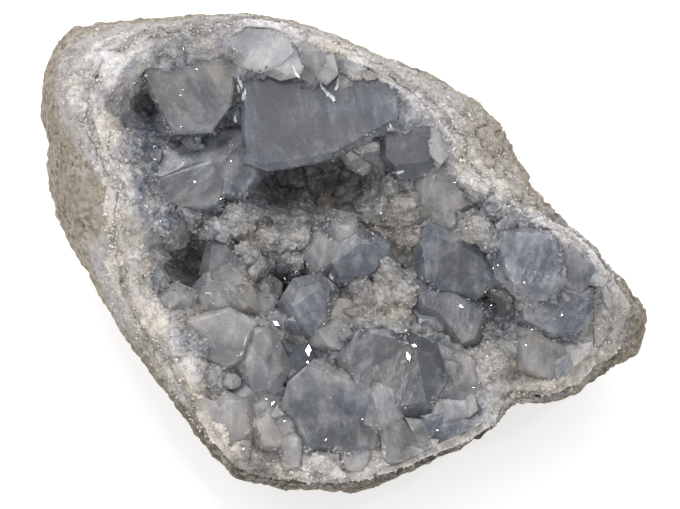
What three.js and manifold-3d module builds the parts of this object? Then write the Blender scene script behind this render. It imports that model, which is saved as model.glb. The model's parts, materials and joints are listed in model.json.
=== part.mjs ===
// A celestite geode: half of a limestone nodule, broken open, with a vug lined by blue-grey crystals.
// Units are millimetres. Shapes are written in the face frame, which looks straight at the broken face:
// x to the right, y up the face, z out of it. The nodule lies on its back on a small flat spot, so the
// face looks up and a little to the front of the part's own frame, whose z = 0 is what it lies on.
//
// Two solids: the stone, a thick-walled bowl, and the crystal crust that lines it, a bed of fine
// crystals with the large ones grown together through it.

import * as THREE from "three";
import { LoftGeometry } from "three/addons/geometries/LoftGeometry.js";
import { mergeVertices } from "three/addons/utils/BufferGeometryUtils.js";
import Module from "manifold-3d";

// How the nodule lies: how far its face leans to the front, and the face frame's place.
const FACE_TILT = 20; // degrees
const FACE_ORIGIN = new THREE.Vector3(-0.25, -7.3, 63);
const UNDERSIDE = [400, 400, 40]; // the block that is taken off under the flat spot

// The edge of the nodule, anticlockwise from its right tip. Each row holds the girth, where the outside
// is widest (x, y, z), how far the rim's crest lies in from it, and the crest's own z.
const EDGE = [
  [76.8, -17.5, -24, 9, -13],
  [74, -11.5, -23, 7.5, -12],
  [68.3, -4.5, -21, 5.5, -10],
  [61.8, 3, -19, 5, -8],
  [53.3, 10.5, -18, 8, -7],
  [47.5, 18, -17, 12, -6],
  [42.3, 25.5, -16, 13, -5],
  [38.5, 33, -15, 12, -4],
  [30, 40.5, -14, 10, -3],
  [14.3, 48, -13, 6, -2],
  [-5, 55.5, -12, 4, 0],
  [-20, 59.5, -12, 4, 1],
  [-36, 59.5, -13, 5, 2],
  [-53.3, 58.5, -15, 8, 3],
  [-68.5, 55.5, -19, 14, 4],
  [-74.8, 47.5, -23, 16, 5],
  [-76.3, 36.8, -26, 17, 6],
  [-74.8, 25.5, -28, 19, 6],
  [-74, 16.8, -29, 21, 5],
  [-71.5, 6.8, -29, 17, 4],
  [-65.3, -4.5, -27, 12, 2],
  [-58.8, -15.8, -24, 9, 0],
  [-51.3, -27, -21, 8, -2],
  [-42.8, -38.3, -18, 7, -4],
  [-34.3, -49.5, -16, 6, -5],
  [-26.3, -57, -15, 4, -6],
  [-10.8, -60, -15, 3.5, -7],
  [5.5, -59.8, -15, 3.5, -8],
  [22, -53, -16, 3.5, -9],
  [36.3, -45.8, -18, 3.5, -10],
  [43.8, -38.3, -20, 4, -12],
  [56, -37.3, -22, 5, -14],
  [66, -30.8, -24, 7, -14],
  [74.2, -25.5, -25, 9, -14],
];
const BACK = new THREE.Vector3(-8, 30, -70); // the middle of the back
const FLOOR = new THREE.Vector3(-9, 8, -42); // the deepest place of the stone's hollow
const MIDDLE = new THREE.Vector3(-9, 8, 0); // of the hollow's mouth
const BACK_STEPS = [0, 10, 23, 36, 50, 64, 78]; // degrees from the back to the girth
const RIM_STEPS = [0, 30, 60, 90]; // degrees over the rim, from the girth to the crest
const WALL_STEPS = [18, 36, 54, 72, 90]; // degrees down the hollow's wall, from the crest to the floor
const BACK_FULLNESS = 0.9; // below 1, a shape is fuller than an ellipse
const WALL_FULLNESS = 0.8;
const COLUMNS = 56;
const HEART = new THREE.Vector3(0, 0, -20); // the place that the outside's lumps stand out from

// Lumps and dents of the outside: their lengths along x, y and z over 2 pi, and their height.
const LUMPS = [
  [15, 12, 13, 2.4],
  [9, 8, 10, 1.6],
  [4.1, 4.7, 3.9, 0.8],
];
const LUMPS_FADE = 30; // degrees before the girth over which they die away

// The crust: the gap that parts it from the stone, and its bed of fine crystals.
const GAP = 0.6; // measured towards the hollow's middle, so it is narrower across the slanting wall
const ABOVE = 40; // how far the crust may stand out of the hollow
const BED_EDGE_IN = 0.8;
const BED_EDGE_UP = 0.9;
const BED_FLOOR = new THREE.Vector3(-9, 8, -25);
const BED_STEPS = [0, 11, 22, 33, 44, 55, 66, 77, 90];
const BED_ROUGH = 2.4; // how unevenly its corners stand
const BED_FADE = 20; // degrees from its edge over which the unevenness grows
const BED_CALM = 45; // degrees before its middle over which the unevenness dies away

// Mounds and pits of the bed: x, y, radius, height.
const MOUNDS = [
  [-25, 8, 7, 7],
  [-45, 4, 7, 4],
  [-10, 4, 7, 7],
  [12, -12, 10, 9],
  [37, -26, 6, 8],
  [13, 9, 8, 4],
  [-36, -18, 7, 5],
  [-38, -4, 7, -11],
  [-50, 36, 6, -10],
  [40, -12, 5, -9],
  [-10, 20, 12, -14],
  [-40, -26, 9, 5],
];

// The large crystals: root x, y, z, tip x, y, z, width, thickness, how much of the length tapers,
// how much of the width is left at the tip, and the turn about the axis in degrees.
const CRYSTALS = [
  // the blocks that hang from the upper wall
  [-40.5, 60, -15, -38, 30.5, -7, 23, 12, 0.45, 0.42, -6],
  [-14, 60, -18, -6, 23, -10, 41, 17, 0.2, 0.78, 5],
  [-19, 59, -7, -20, 46.5, 1, 17, 9, 0.5, 0.5, 6],
  [-5, 56, -8, -6, 43, -0.5, 13, 8, 0.4, 0.5, -12],
  [7, 51, -11, 8, 42, -4, 10, 7, 0.4, 0.5, 14],
  [24, 42, -20, 15, 19.5, -9, 16, 12, 0.45, 0.5, 12],
  [5, 38, -22, 5, 21, -11, 11, 9, 0.5, 0.4, -20],
  [40, 37, -16, 26, 28, -5, 13, 8, 0.5, 0.4, 10],
  [33, 30, -20, 25, 17, -9, 10, 7, 0.5, 0.4, 20],
  // the left side
  [-54, 25, -24, -27, 19.5, -12, 17, 12, 0.25, 0.72, -8],
  [-62, 40, -18, -51, 36, -8, 8, 7, 0.5, 0.5, 10],
  [-58, 12, -18, -44, 5, -10, 9, 8, 0.35, 0.5, 20],
  [-56, -4, -18, -44, -6, -9, 8, 6, 0.4, 0.5, -15],
  // the middle
  [-7, -4, -28, -9, -14, -9, 13, 10, 0.45, 0.45, 0],
  [6, 8, -28, 4, -2, -12, 15, 10, 0.4, 0.55, 15],
  [1, -14, -26, -1, -22, -10, 12, 7, 0.5, 0.4, -10],
  [-22, -6, -24, -19, -13.5, -13, 7, 5, 0.4, 0.5, 15],
  [-9, -24, -26, -8.5, -24, -9, 6, 6, 0.3, 0.5, 25],
  [-6, 12, -30, -6, 2, -12, 9, 8, 0.5, 0.35, 0],
  // the lower wall
  [14, -50, -24, 11, -24, -6, 26, 17, 0.42, 0.58, 4],
  [-1, -57, -20, -2, -32, -6.5, 23, 14, 0.4, 0.55, -6],
  [-30, -40, -20, -18.5, -22, -7, 17, 11, 0.4, 0.6, 10],
  [-42, -30, -18, -25, -21.5, -6, 11, 6, 0.3, 0.6, -10],
  [-38, -48, -15, -27.5, -42, -4.5, 11, 8, 0.45, 0.4, 0],
  [-22, -55, -15, -19, -42, -5.5, 9, 7, 0.4, 0.45, 15],
  [-13, -60, -12, -12, -48, -5, 7, 6, 0.5, 0.45, -10],
  [-5, -60, -12, -5, -49, -5.5, 8, 6, 0.5, 0.45, 12],
  [4, -60, -13, 3, -48.5, -6.5, 8, 6, 0.5, 0.45, -8],
  [16, -57, -15, 14, -44, -5.5, 10, 7, 0.4, 0.5, 10],
  [27, -53, -15, 24, -43, -6, 12, 8, 0.4, 0.5, -12],
  [36, -48, -17, 33, -42, -8, 9, 7, 0.4, 0.5, 8],
  [32, -41, -16, 23, -37.5, -7, 7, 5, 0.6, 0.35, 20],
  // the right side
  [42, 9, -24, 27, -3, -11, 17, 12, 0.35, 0.58, -5],
  [47, 5, -26, 47.5, -2.5, -3.5, 17, 15, 0.35, 0.6, 20],
  [58, 0, -24, 58, -3, -6, 13, 12, 0.4, 0.5, -10],
  [56, -10, -27, 53.5, -16, -8.5, 19, 12, 0.3, 0.62, 6],
  [36, -6, -27, 26, -16, -12, 14, 11, 0.35, 0.6, -12],
  [54, -19, -25, 50, -27, -11, 10, 12, 0.4, 0.5, 10],
  [62, -20, -24, 57.5, -25.5, -9.5, 10, 9, 0.45, 0.5, -10],
  [64, -27, -23, 58, -31.5, -13, 8, 7, 0.5, 0.45, 15],
  [71, -9, -22, 65, -12.5, -10, 10, 8, 0.5, 0.5, 0],
];
const BROAD = 0.62; // a broad side's share of the crystal's width
const ROOT_SIZE = 0.92; // of a crystal, as a share of its full width

// The smaller crystals that fill the bed between them.
const FILLERS = 70;
const FILLER_WIDTH = [5, 9];
const FILLER_LENGTH = 1.5; // times its width
const FILLER_SUNK = 0.6; // the share of its length under the bed
const FILLER_LEAN = 0.9; // how far a filler may lean off the bed's normal
const FILLER_REACH = [0.05, 0.97]; // of the way in from the crest to the middle

const GOLDEN = (Math.sqrt(5) - 1) / 2;

const wasm = await Module();
wasm.setup();

// A geometry's bare surface, with its seams merged and the faces of no area left out that a ring
// drawn together to one point leaves.
function bareSurface(geometry) {
  const bare = new THREE.BufferGeometry()
    .setAttribute("position", geometry.getAttribute("position").clone())
    .setIndex(geometry.index);
  const merged = mergeVertices(bare, 1e-4);
  const index = merged.index.array;
  const kept = [];
  for (let i = 0; i < index.length; i += 3) {
    const [a, b, c] = index.slice(i, i + 3);
    if (a !== b && b !== c && c !== a) kept.push(a, b, c);
  }
  return merged.setIndex(kept);
}

// A closed geometry as a solid, and a solid as a geometry.
function solidOf(geometry) {
  const surface = bareSurface(geometry);
  return new wasm.Manifold(
    new wasm.Mesh({
      numProp: 3,
      vertProperties: surface.getAttribute("position").array,
      triVerts: new Uint32Array(surface.index.array),
    }),
  );
}

function geometryOf(solid) {
  const mesh = solid.getMesh();
  const geometry = new THREE.BufferGeometry()
    .setAttribute("position", new THREE.BufferAttribute(mesh.vertProperties, 3))
    .setIndex(new THREE.BufferAttribute(mesh.triVerts, 1));
  geometry.computeVertexNormals();
  return geometry;
}

// An even spread of numbers from 0 to 1, for what is scattered.
function spread(index, salt) {
  const value = Math.sin(index * 12.9898 + salt * 78.233) * 43758.5453;
  return value - Math.floor(value);
}

// How far a quarter of a superellipse has gone after some degrees: across from its start, and along.
function quarter(degrees, fullness) {
  const angle = THREE.MathUtils.degToRad(degrees);
  return {
    across: 1 - Math.max(0, Math.cos(angle)) ** fullness,
    along: Math.sin(angle) ** fullness,
  };
}

// The edge's girth and crest, as closed curves through the table's rows.
const girthCurve = closedCurve(EDGE.map(([x, y, z]) => new THREE.Vector3(x, y, z)));
const crestCurve = closedCurve(
  EDGE.map(([x, y, , inset, crestZ]) => {
    const inward = new THREE.Vector2(FLOOR.x - x, FLOOR.y - y).setLength(inset);
    return new THREE.Vector3(x + inward.x, y + inward.y, crestZ);
  }),
);

function closedCurve(points) {
  return new THREE.CatmullRomCurve3(points, true, "catmullrom", 0.5);
}

// A ring between two places: across is its share of the way in x and y, down its share in z.
function ringBetween(start, end, across, down) {
  return Array.from({ length: COLUMNS }, (_, column) => {
    const from = start(column / COLUMNS);
    const to = end(column / COLUMNS);
    return new THREE.Vector3(
      THREE.MathUtils.lerp(from.x, to.x, across),
      THREE.MathUtils.lerp(from.y, to.y, across),
      THREE.MathUtils.lerp(from.z, to.z, down),
    );
  });
}

const back = () => BACK;
const floor = () => FLOOR;
const girth = (t) => girthCurve.getPoint(t);
const crest = (t) => crestCurve.getPoint(t);

// A point of the outside, moved out or in by a share of its lumps.
function lumped(point, share) {
  const out = point.clone().sub(HEART).normalize();
  const height = LUMPS.reduce((sum, [x, y, z, most], i) => {
    const wave = Math.sin(point.x / x + i + 1) * Math.sin(point.y / y + i) * Math.sin(point.z / z + i + 2);
    return sum + most * wave;
  }, 0);
  return point.addScaledVector(out, share * height);
}

function backRing(degrees) {
  const { across, along } = quarter(degrees, BACK_FULLNESS);
  const share = Math.min(1, (90 - degrees) / LUMPS_FADE);
  return ringBetween(back, girth, along, across).map((point) => lumped(point, share));
}

function rimRing(degrees) {
  const { across, along } = quarter(degrees, WALL_FULLNESS);
  return ringBetween(girth, crest, across, along);
}

function wallRing(degrees) {
  const { across, along } = quarter(degrees, WALL_FULLNESS);
  return ringBetween(crest, floor, across, along);
}

// The stone: from the middle of its back out to the girth, over the rim and down into the hollow.
function stoneGeometry() {
  return new LoftGeometry([
    ...BACK_STEPS.map(backRing),
    ...RIM_STEPS.map(rimRing),
    ...WALL_STEPS.map(wallRing),
  ]);
}

// The room of the hollow, a gap in from the stone's wall and carried straight on above the crest.
function roomGeometry() {
  const inward = (point) => point.add(MIDDLE.clone().sub(point).setLength(GAP));
  const rings = [...WALL_STEPS].reverse().map((degrees) => wallRing(degrees).map(inward));
  const edge = rimRing(90).map(inward);
  const top = edge.map((point) => point.clone().setZ(ABOVE));
  return new LoftGeometry([...rings, edge, top], { capEnd: true });
}

// The bed's surface at a column share and a number of degrees down the wall, with its mounds and pits.
function bedPoint(t, degrees) {
  const start = crest(t);
  const inward = new THREE.Vector2(FLOOR.x - start.x, FLOOR.y - start.y).setLength(BED_EDGE_IN);
  const { across, along } = quarter(degrees, WALL_FULLNESS);
  const point = new THREE.Vector3(
    THREE.MathUtils.lerp(start.x + inward.x, BED_FLOOR.x, across),
    THREE.MathUtils.lerp(start.y + inward.y, BED_FLOOR.y, across),
    THREE.MathUtils.lerp(start.z + BED_EDGE_UP, BED_FLOOR.z, along),
  );
  const fade = Math.min(1, degrees / BED_FADE);
  for (const [x, y, radius, height] of MOUNDS) {
    const away = Math.hypot(point.x - x, point.y - y) / radius;
    point.z += fade * height * Math.exp(-away * away);
  }
  return point;
}

// The block under the bed: it reaches into the stone below the hollow, and its top is the bed.
function bedGeometry() {
  const outward = (point) => point.add(point.clone().sub(MIDDLE).setLength(GAP));
  const under = [...WALL_STEPS].reverse().map((degrees) => wallRing(degrees).map(outward));
  const edge = rimRing(90).map(outward);
  const top = BED_STEPS.map((degrees, step) => {
    const rough = BED_ROUGH * Math.min(1, degrees / BED_FADE, (90 - degrees) / BED_CALM);
    return Array.from({ length: COLUMNS }, (_, column) => {
      const point = bedPoint(column / COLUMNS, degrees);
      point.z += rough * (spread(column, step) - 0.5);
      return point;
    });
  });
  return new LoftGeometry([...under, edge, ...top]);
}

// A crystal's section: six flat sides, two of them broad and four that meet in an edge at each end
// of its width.
function section(width, thickness) {
  const w = width / 2;
  const t = thickness / 2;
  const b = w * BROAD;
  return [
    [w, 0],
    [b, t],
    [-b, t],
    [-w, 0],
    [-b, -t],
    [b, -t],
  ];
}

// A flat-faced crystal from its root to its tip: a prism with a tapered end and a small flat tip.
function crystalGeometry({ root, tip, width, thickness, taper, left, turn }) {
  const along = tip.clone().sub(root).normalize();
  const out = new THREE.Vector3(0, 0, 1);
  const across = new THREE.Vector3().crossVectors(along, out);
  if (across.length() < 0.2) across.set(1, 0, 0);
  across.addScaledVector(along, -across.dot(along)).normalize();
  across.applyAxisAngle(along, THREE.MathUtils.degToRad(turn));
  const broad = new THREE.Vector3().crossVectors(along, across);
  const stations = [
    [0, ROOT_SIZE],
    [1 - taper, 1],
    [1, left],
  ];
  const rings = stations.map(([share, size]) => {
    const centre = root.clone().lerp(tip, share);
    return section(width * size, thickness * size).map(([x, y]) =>
      centre.clone().addScaledVector(across, x).addScaledVector(broad, y),
    );
  });
  return new LoftGeometry(rings, { capStart: true, capEnd: true });
}

function largeCrystals() {
  return CRYSTALS.map(([rx, ry, rz, tx, ty, tz, width, thickness, taper, left, turn]) => ({
    root: new THREE.Vector3(rx, ry, rz),
    tip: new THREE.Vector3(tx, ty, tz),
    width,
    thickness,
    taper,
    left,
    turn,
  }));
}

// Fillers stand on the bed, evenly spread over it, and lean off its normal, each its own way.
function fillerCrystals() {
  return Array.from({ length: FILLERS }, (_, i) => {
    const t = (i * GOLDEN) % 1;
    const wayIn = THREE.MathUtils.lerp(...FILLER_REACH, 1 - Math.sqrt(1 - (i + 0.5) / FILLERS));
    const degrees = THREE.MathUtils.radToDeg(Math.acos((1 - wayIn) ** (1 / WALL_FULLNESS)));
    const at = bedPoint(t, degrees);
    const sideways = bedPoint(t + 0.01, degrees).sub(at);
    const inwards = bedPoint(t, degrees + 3).sub(at);
    const normal = new THREE.Vector3().crossVectors(sideways, inwards).normalize();
    if (normal.z < 0) normal.negate();
    normal.x += FILLER_LEAN * (spread(i, 2) - 0.5);
    normal.y += FILLER_LEAN * (spread(i, 3) - 0.5);
    normal.normalize();
    const width = THREE.MathUtils.lerp(...FILLER_WIDTH, spread(i, 4));
    const length = width * FILLER_LENGTH;
    return {
      root: at.clone().addScaledVector(normal, -length * FILLER_SUNK),
      tip: at.clone().addScaledVector(normal, length * (1 - FILLER_SUNK)),
      width,
      thickness: width * (0.7 + 0.3 * spread(i, 5)),
      taper: 0.3 + 0.3 * spread(i, 6),
      left: 0.35 + 0.25 * spread(i, 7),
      turn: 180 * spread(i, 8),
    };
  });
}

const geode = new THREE.Group();
geode.rotation.x = THREE.MathUtils.degToRad(FACE_TILT);
geode.position.copy(FACE_ORIGIN);
geode.updateMatrixWorld(true);

// The block under the plane that the geode stands on, brought into the face frame.
const underside = new THREE.BoxGeometry(...UNDERSIDE)
  .translate(0, 0, -UNDERSIDE[2] / 2)
  .applyMatrix4(geode.matrixWorld.clone().invert());

const stone = solidOf(stoneGeometry()).subtract(solidOf(underside));

let crystals = solidOf(bedGeometry());
for (const crystal of [...largeCrystals(), ...fillerCrystals()]) {
  crystals = crystals.add(solidOf(crystalGeometry(crystal)));
}
const crust = crystals.intersect(solidOf(roomGeometry()));

const limestone = new THREE.MeshStandardMaterial({ color: 0xb3aa9b, roughness: 0.92, metalness: 0 });
const celestite = new THREE.MeshStandardMaterial({
  color: 0x7f8794,
  roughness: 0.22,
  metalness: 0,
  flatShading: true,
});

const stoneMesh = new THREE.Mesh(geometryOf(stone), limestone);
stoneMesh.name = "stone";
const crustMesh = new THREE.Mesh(geometryOf(crust), celestite);
crustMesh.name = "crystal_crust";
geode.add(stoneMesh, crustMesh);

export default geode;
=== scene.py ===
# A celestite geode: half of a limestone nodule, broken open, with a hollow lined by blue-grey crystals.
#
# Shapes are worked out in millimetres in the face frame, which looks straight at the broken face: x to
# the right, y up the face, z out of it. to_row() brings them into the row's frame, in metres.

import functools
import json
import math
from itertools import combinations

import bpy
import numpy as np
from bpy.props import FloatProperty, FloatVectorProperty, IntProperty, PointerProperty
from mathutils import Matrix, Vector
from mathutils.bvhtree import BVHTree

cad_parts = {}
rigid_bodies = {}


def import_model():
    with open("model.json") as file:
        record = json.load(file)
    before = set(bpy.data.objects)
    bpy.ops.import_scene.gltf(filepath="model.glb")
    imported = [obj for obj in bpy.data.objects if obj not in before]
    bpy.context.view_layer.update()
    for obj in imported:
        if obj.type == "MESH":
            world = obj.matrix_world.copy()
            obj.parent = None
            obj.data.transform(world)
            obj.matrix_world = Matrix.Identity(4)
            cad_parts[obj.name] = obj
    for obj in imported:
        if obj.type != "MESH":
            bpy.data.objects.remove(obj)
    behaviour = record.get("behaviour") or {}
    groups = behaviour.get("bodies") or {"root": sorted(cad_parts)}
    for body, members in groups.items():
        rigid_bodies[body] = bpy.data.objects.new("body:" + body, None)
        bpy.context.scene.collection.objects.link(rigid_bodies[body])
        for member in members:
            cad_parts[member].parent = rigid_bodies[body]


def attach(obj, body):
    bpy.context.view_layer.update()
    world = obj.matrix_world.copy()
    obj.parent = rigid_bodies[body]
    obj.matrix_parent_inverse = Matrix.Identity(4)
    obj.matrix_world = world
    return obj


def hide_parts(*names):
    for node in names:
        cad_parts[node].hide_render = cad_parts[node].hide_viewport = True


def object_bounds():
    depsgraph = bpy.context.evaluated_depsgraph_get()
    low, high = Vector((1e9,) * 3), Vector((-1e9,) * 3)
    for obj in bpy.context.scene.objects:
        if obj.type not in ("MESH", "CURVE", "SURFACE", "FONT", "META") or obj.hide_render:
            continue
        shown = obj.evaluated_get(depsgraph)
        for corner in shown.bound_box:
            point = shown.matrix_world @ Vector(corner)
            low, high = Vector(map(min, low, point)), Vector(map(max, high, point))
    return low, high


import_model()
CAD_BOX = [list(corner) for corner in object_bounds()]

bl_info = {
    "name": "Celestite Geode",
    "version": (1, 0, 0),
    "blender": (4, 5, 0),
    "location": "View3D > Sidebar > Geode",
    "description": "A broken limestone nodule with a hollow lined by blue-grey celestite crystals",
    "category": "Object",
}

MM = 0.001
BODY = "root"

# How the nodule lies: its face leans to the front, and this is the face frame's place.
LEAN = math.radians(20)
FACE_AXES = np.array(
    [
        [1, 0, 0],
        [0, math.cos(LEAN), math.sin(LEAN)],
        [0, -math.sin(LEAN), math.cos(LEAN)],
    ]
)
FACE_ORIGIN = np.array([-0.25, -7.3, 63.0])

# The edge of the nodule, anticlockwise from its right tip. Each row holds the girth, where the outside
# is widest (x, y, z), how far the rim's crest lies in from it, the crest's own z, and the share of the
# way over the rim where its pale band starts.
EDGE = np.array(
    [
        [76.8, -17.5, -24, 9, -13, 0.62],
        [74, -11.5, -23, 7.5, -12, 0.5],
        [68.3, -4.5, -21, 5.5, -10, 0.35],
        [61.8, 3, -19, 5, -8, 0.3],
        [53.3, 10.5, -18, 8, -7, 0.4],
        [47.5, 18, -17, 12, -6, 0.45],
        [42.3, 25.5, -16, 13, -5, 0.35],
        [38.5, 33, -15, 12, -4, 0.3],
        [30, 40.5, -14, 10, -3, 0.3],
        [14.3, 48, -13, 6, -2, 0.35],
        [-5, 55.5, -12, 4, 0, 0.35],
        [-20, 59.5, -12, 4, 1, 0.4],
        [-36, 59.5, -13, 5, 2, 0.4],
        [-53.3, 58.5, -15, 8, 3, 0.4],
        [-68.5, 55.5, -19, 14, 4, 0.45],
        [-74.8, 47.5, -23, 16, 5, 0.55],
        [-76.3, 36.8, -26, 17, 6, 0.72],
        [-74.8, 25.5, -28, 19, 6, 0.82],
        [-74, 16.8, -29, 21, 5, 0.95],
        [-71.5, 6.8, -29, 17, 4, 0.95],
        [-65.3, -4.5, -27, 12, 2, 0.45],
        [-58.8, -15.8, -24, 9, 0, 0.4],
        [-51.3, -27, -21, 8, -2, 0.5],
        [-42.8, -38.3, -18, 7, -4, 0.5],
        [-34.3, -49.5, -16, 6, -5, 0.6],
        [-26.3, -57, -15, 4, -6, 0.85],
        [-10.8, -60, -15, 3.5, -7, 0.9],
        [5.5, -59.8, -15, 3.5, -8, 0.9],
        [22, -53, -16, 3.5, -9, 0.6],
        [36.3, -45.8, -18, 3.5, -10, 0.6],
        [43.8, -38.3, -20, 4, -12, 0.75],
        [56, -37.3, -22, 5, -14, 0.55],
        [66, -30.8, -24, 7, -14, 0.5],
        [74.2, -25.5, -25, 9, -14, 0.62],
    ]
)
GIRTH, INSET, CREST_Z, BAND = EDGE[:, :3], EDGE[:, 3], EDGE[:, 4], EDGE[:, 5]
BACK = np.array([-8.0, 30, -70])  # the middle of the back
FLOOR = np.array([-9.0, 8, -42])  # the deepest place of the stone's hollow
BED_FLOOR = np.array([-9.0, 8, -25])  # the crystal bed's lowest place
HEART = np.array([0.0, 0, -20])  # the place that the outside's lumps stand out from
BACK_FULLNESS = 0.9  # below 1, a shape is fuller than an ellipse
WALL_FULLNESS = 0.8
BED_FULLNESS = 1.2  # above 1, the bed slopes in more gently
BED_START = 0.62, 0.8  # the least and most share of the way over the rim where the bed begins
BED_SHIFT = -0.3  # how far the whole bed is moved along z
BED_SINK = 1.4  # how deep the stone lies under the bed near the crest
BED_EDGE_SINK = 2.8  # how deep the bed's own edge lies in the stone
WORN_ROWS, WORN_PASSES = 16, 30  # the bed's rows past the crest that are worn round, and how often
CREST_STEPS = 720  # the places round the crest at which its line is known

# Where the rim is rugged, with knobs and cracks: x, y, radius.
RUGGED = [
    [35, 27, 13],
    [47, 12, 8],
    [68, -16, 10],
    [62, -30, 8],
    [-32, -48, 9],
    [-50, -24, 7],
]

# Lumps and dents of the outside: their lengths along x, y and z over 2 pi, and their height.
LUMPS = [
    [15, 12, 13, 2.4],
    [9, 8, 10, 1.6],
    [4.1, 4.7, 3.9, 0.8],
]
LUMPS_FADE = 30  # degrees before the girth over which they die away

# Mounds and pits of the bed: x, y, radius, height.
MOUNDS = [
    [-25, 6, 9, 8],
    [-45, 4, 7, 4],
    [-10, 3, 9, 8],
    [12, -12, 10, 9],
    [37, -26, 6, 8],
    [33, 5, 6, 8],
    [-38, 50, 8, 3],
    [13, 9, 8, 4],
    [-36, -18, 7, 5],
    [-38, -4, 7, -14],
    [-50, 36, 6, -10],
    [40, -12, 5, -4],
    [-10, 20, 12, -10],
    [-40, -26, 9, 5],
    [-57, 44, 6, 6],
    [-57, 30, 6, 4],
]
BED_FADE = 20  # degrees from its edge over which the mounds grow
KNOB_RISE = 1.0  # the knobs' height over their radius
BED_LIFT = 2.5  # how far the fine crystals raise the bed

# Pits that stay open between the crystals: x, y, radius.
PITS = [
    [-51, 37, 7],
    [-36.5, -4, 8.5],
    [-12, 17, 11],
    [2, 17, 9],
    [40, -12, 3.5],
    [-13, -29, 5],
    [-18, -8, 5],
]

# Round knobs of sugary crystal: x, y, radius.
KNOBS = [
    [-31.8, 4.8, 4.4],
    [-26.2, 8.4, 4.8],
    [-21.4, 10.8, 3.6],
    [-15.8, 10, 4],
    [-11, 11.6, 4.4],
    [-6, 10.5, 3.2],
    [-1.4, 4.8, 2.4],
    [-18.2, 3.6, 4],
    [-24.6, -0.4, 4],
    [-12, 4, 3.8],
    [-20.6, -4.5, 3.6],
    [-13, -3, 3.6],
    [-44.2, -7.6, 2.6],
    [-38, 9.5, 3.4],
    [-44, 6, 3.6],
    [-50.2, -2, 4],
    [-51, 8, 4],
    [-53, 17, 4.4],
    [-54, 26, 4],
    [7.4, 11.6, 4.8],
    [14.6, 10, 4.8],
    [16.2, 3.6, 3.6],
    [10.5, 16, 3.6],
    [11.4, -6, 4.4],
    [4.2, -10, 4],
    [9, -11.6, 4.4],
    [15.4, -10, 4],
    [6.6, -16.4, 4],
    [13.8, -17.2, 4],
    [-35.8, -22.8, 4],
    [-42, -22, 4.4],
    [-45, -29, 4.8],
    [-37.4, -30, 4.8],
    [-31, -31.5, 4],
    [-38, -38, 4],
    [-32, -46, 4],
    [33, 6, 4.4],
    [36.5, 3, 3.4],
    [30.2, 4, 3],
    [37, -27, 4.5],
    [41, -23.5, 3],
    [34, -30.5, 3],
    [-5.5, -52, 3.6],
    [-8.8, -54.5, 2.6],
    [-1.5, -55, 2.6],
    [9, -54.5, 2.8],
    [-20, -51.5, 3],
    [-25, -49, 3],
    [33, 17, 4.6],
    [38, 11, 3.6],
    [31, 25, 4.2],
]

# Where the crust is sugary knobs instead of blocky crystals: x, y, radius along x, and along y.
SUGARY = [
    [-24, 8, 13, 9],
    [-6, 8, 10, 8],
    [11, -13, 9, 8],
    [13, 8, 8, 9],
    [36, 22, 10, 12],
    [37, -27, 6, 6],
    [33, 5, 7, 6],
    [-52, 14, 6, 16],
    [-38, -25, 9, 12],
    [-31, -43, 8, 8],
    [-34, 44, 5, 5],
]

# Where the crust is paler or warmer than its grey-blue: x, y, radius, paleness, warmth.
PATCHES = [
    [-26, 8, 11, 0.22, 0.3],
    [-8, 7, 9, 0.4, 0.4],
    [12, -13, 11, 0.3, 0.55],
    [14, 8, 9, 0.2, 0.6],
    [37, -27, 6, 0.4, 0.7],
    [-40, -25, 12, 0.33, 0.22],
    [-30, -43, 8, 0.22, 0.18],
    [-12, -62, 9, -0.18, 0.35],
    [2, -62, 9, -0.18, 0.35],
    [-25, -59, 8, -0.4, 0.35],
    [15, -59, 8, -0.3, 0.3],
    [70, -18, 9, -0.35, 0.3],
    [62, -32, 10, -0.3, 0.3],
    [44, -38, 8, -0.2, 0.3],
    [30, -48, 10, -0.15, 0.1],
    [-24, -55, 8, -0.2, 0.3],
    [36, 24, 13, 0.1, 0.35],
    [-42, 16, 9, -0.1, -0.3],
    [52, -28, 9, 0.12, 0.15],
    [-34, 52, 9, -0.05, 0.1],
    [4, -51, 12, 0.2, 0.12],
    [-10, -51, 10, 0.2, 0.12],
    [-50, 4, 10, 0.05, 0.2],
    [-37, -4, 9, 0.15, -0.05],
    # This patch darkens the cave under the hanging blocks: painted shade.
    [-14, 18, 9, -0.2, 0.2],
    [-58, 28, 8, 0.2, 0.2],
    [-57, 12, 9, 0.2, 0.25],
    [-52, -20, 12, 0.15, 0.2],
    [-55, 46, 9, 0.2, 0.0],
    [-50, -8, 8, 0.15, 0.2],
    [33, 5, 6, 0.4, 0.4],
    [0, 51, 8, 0.2, 0.2],
    [-42, -26, 12, -0.12, 0.0],
]

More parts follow.
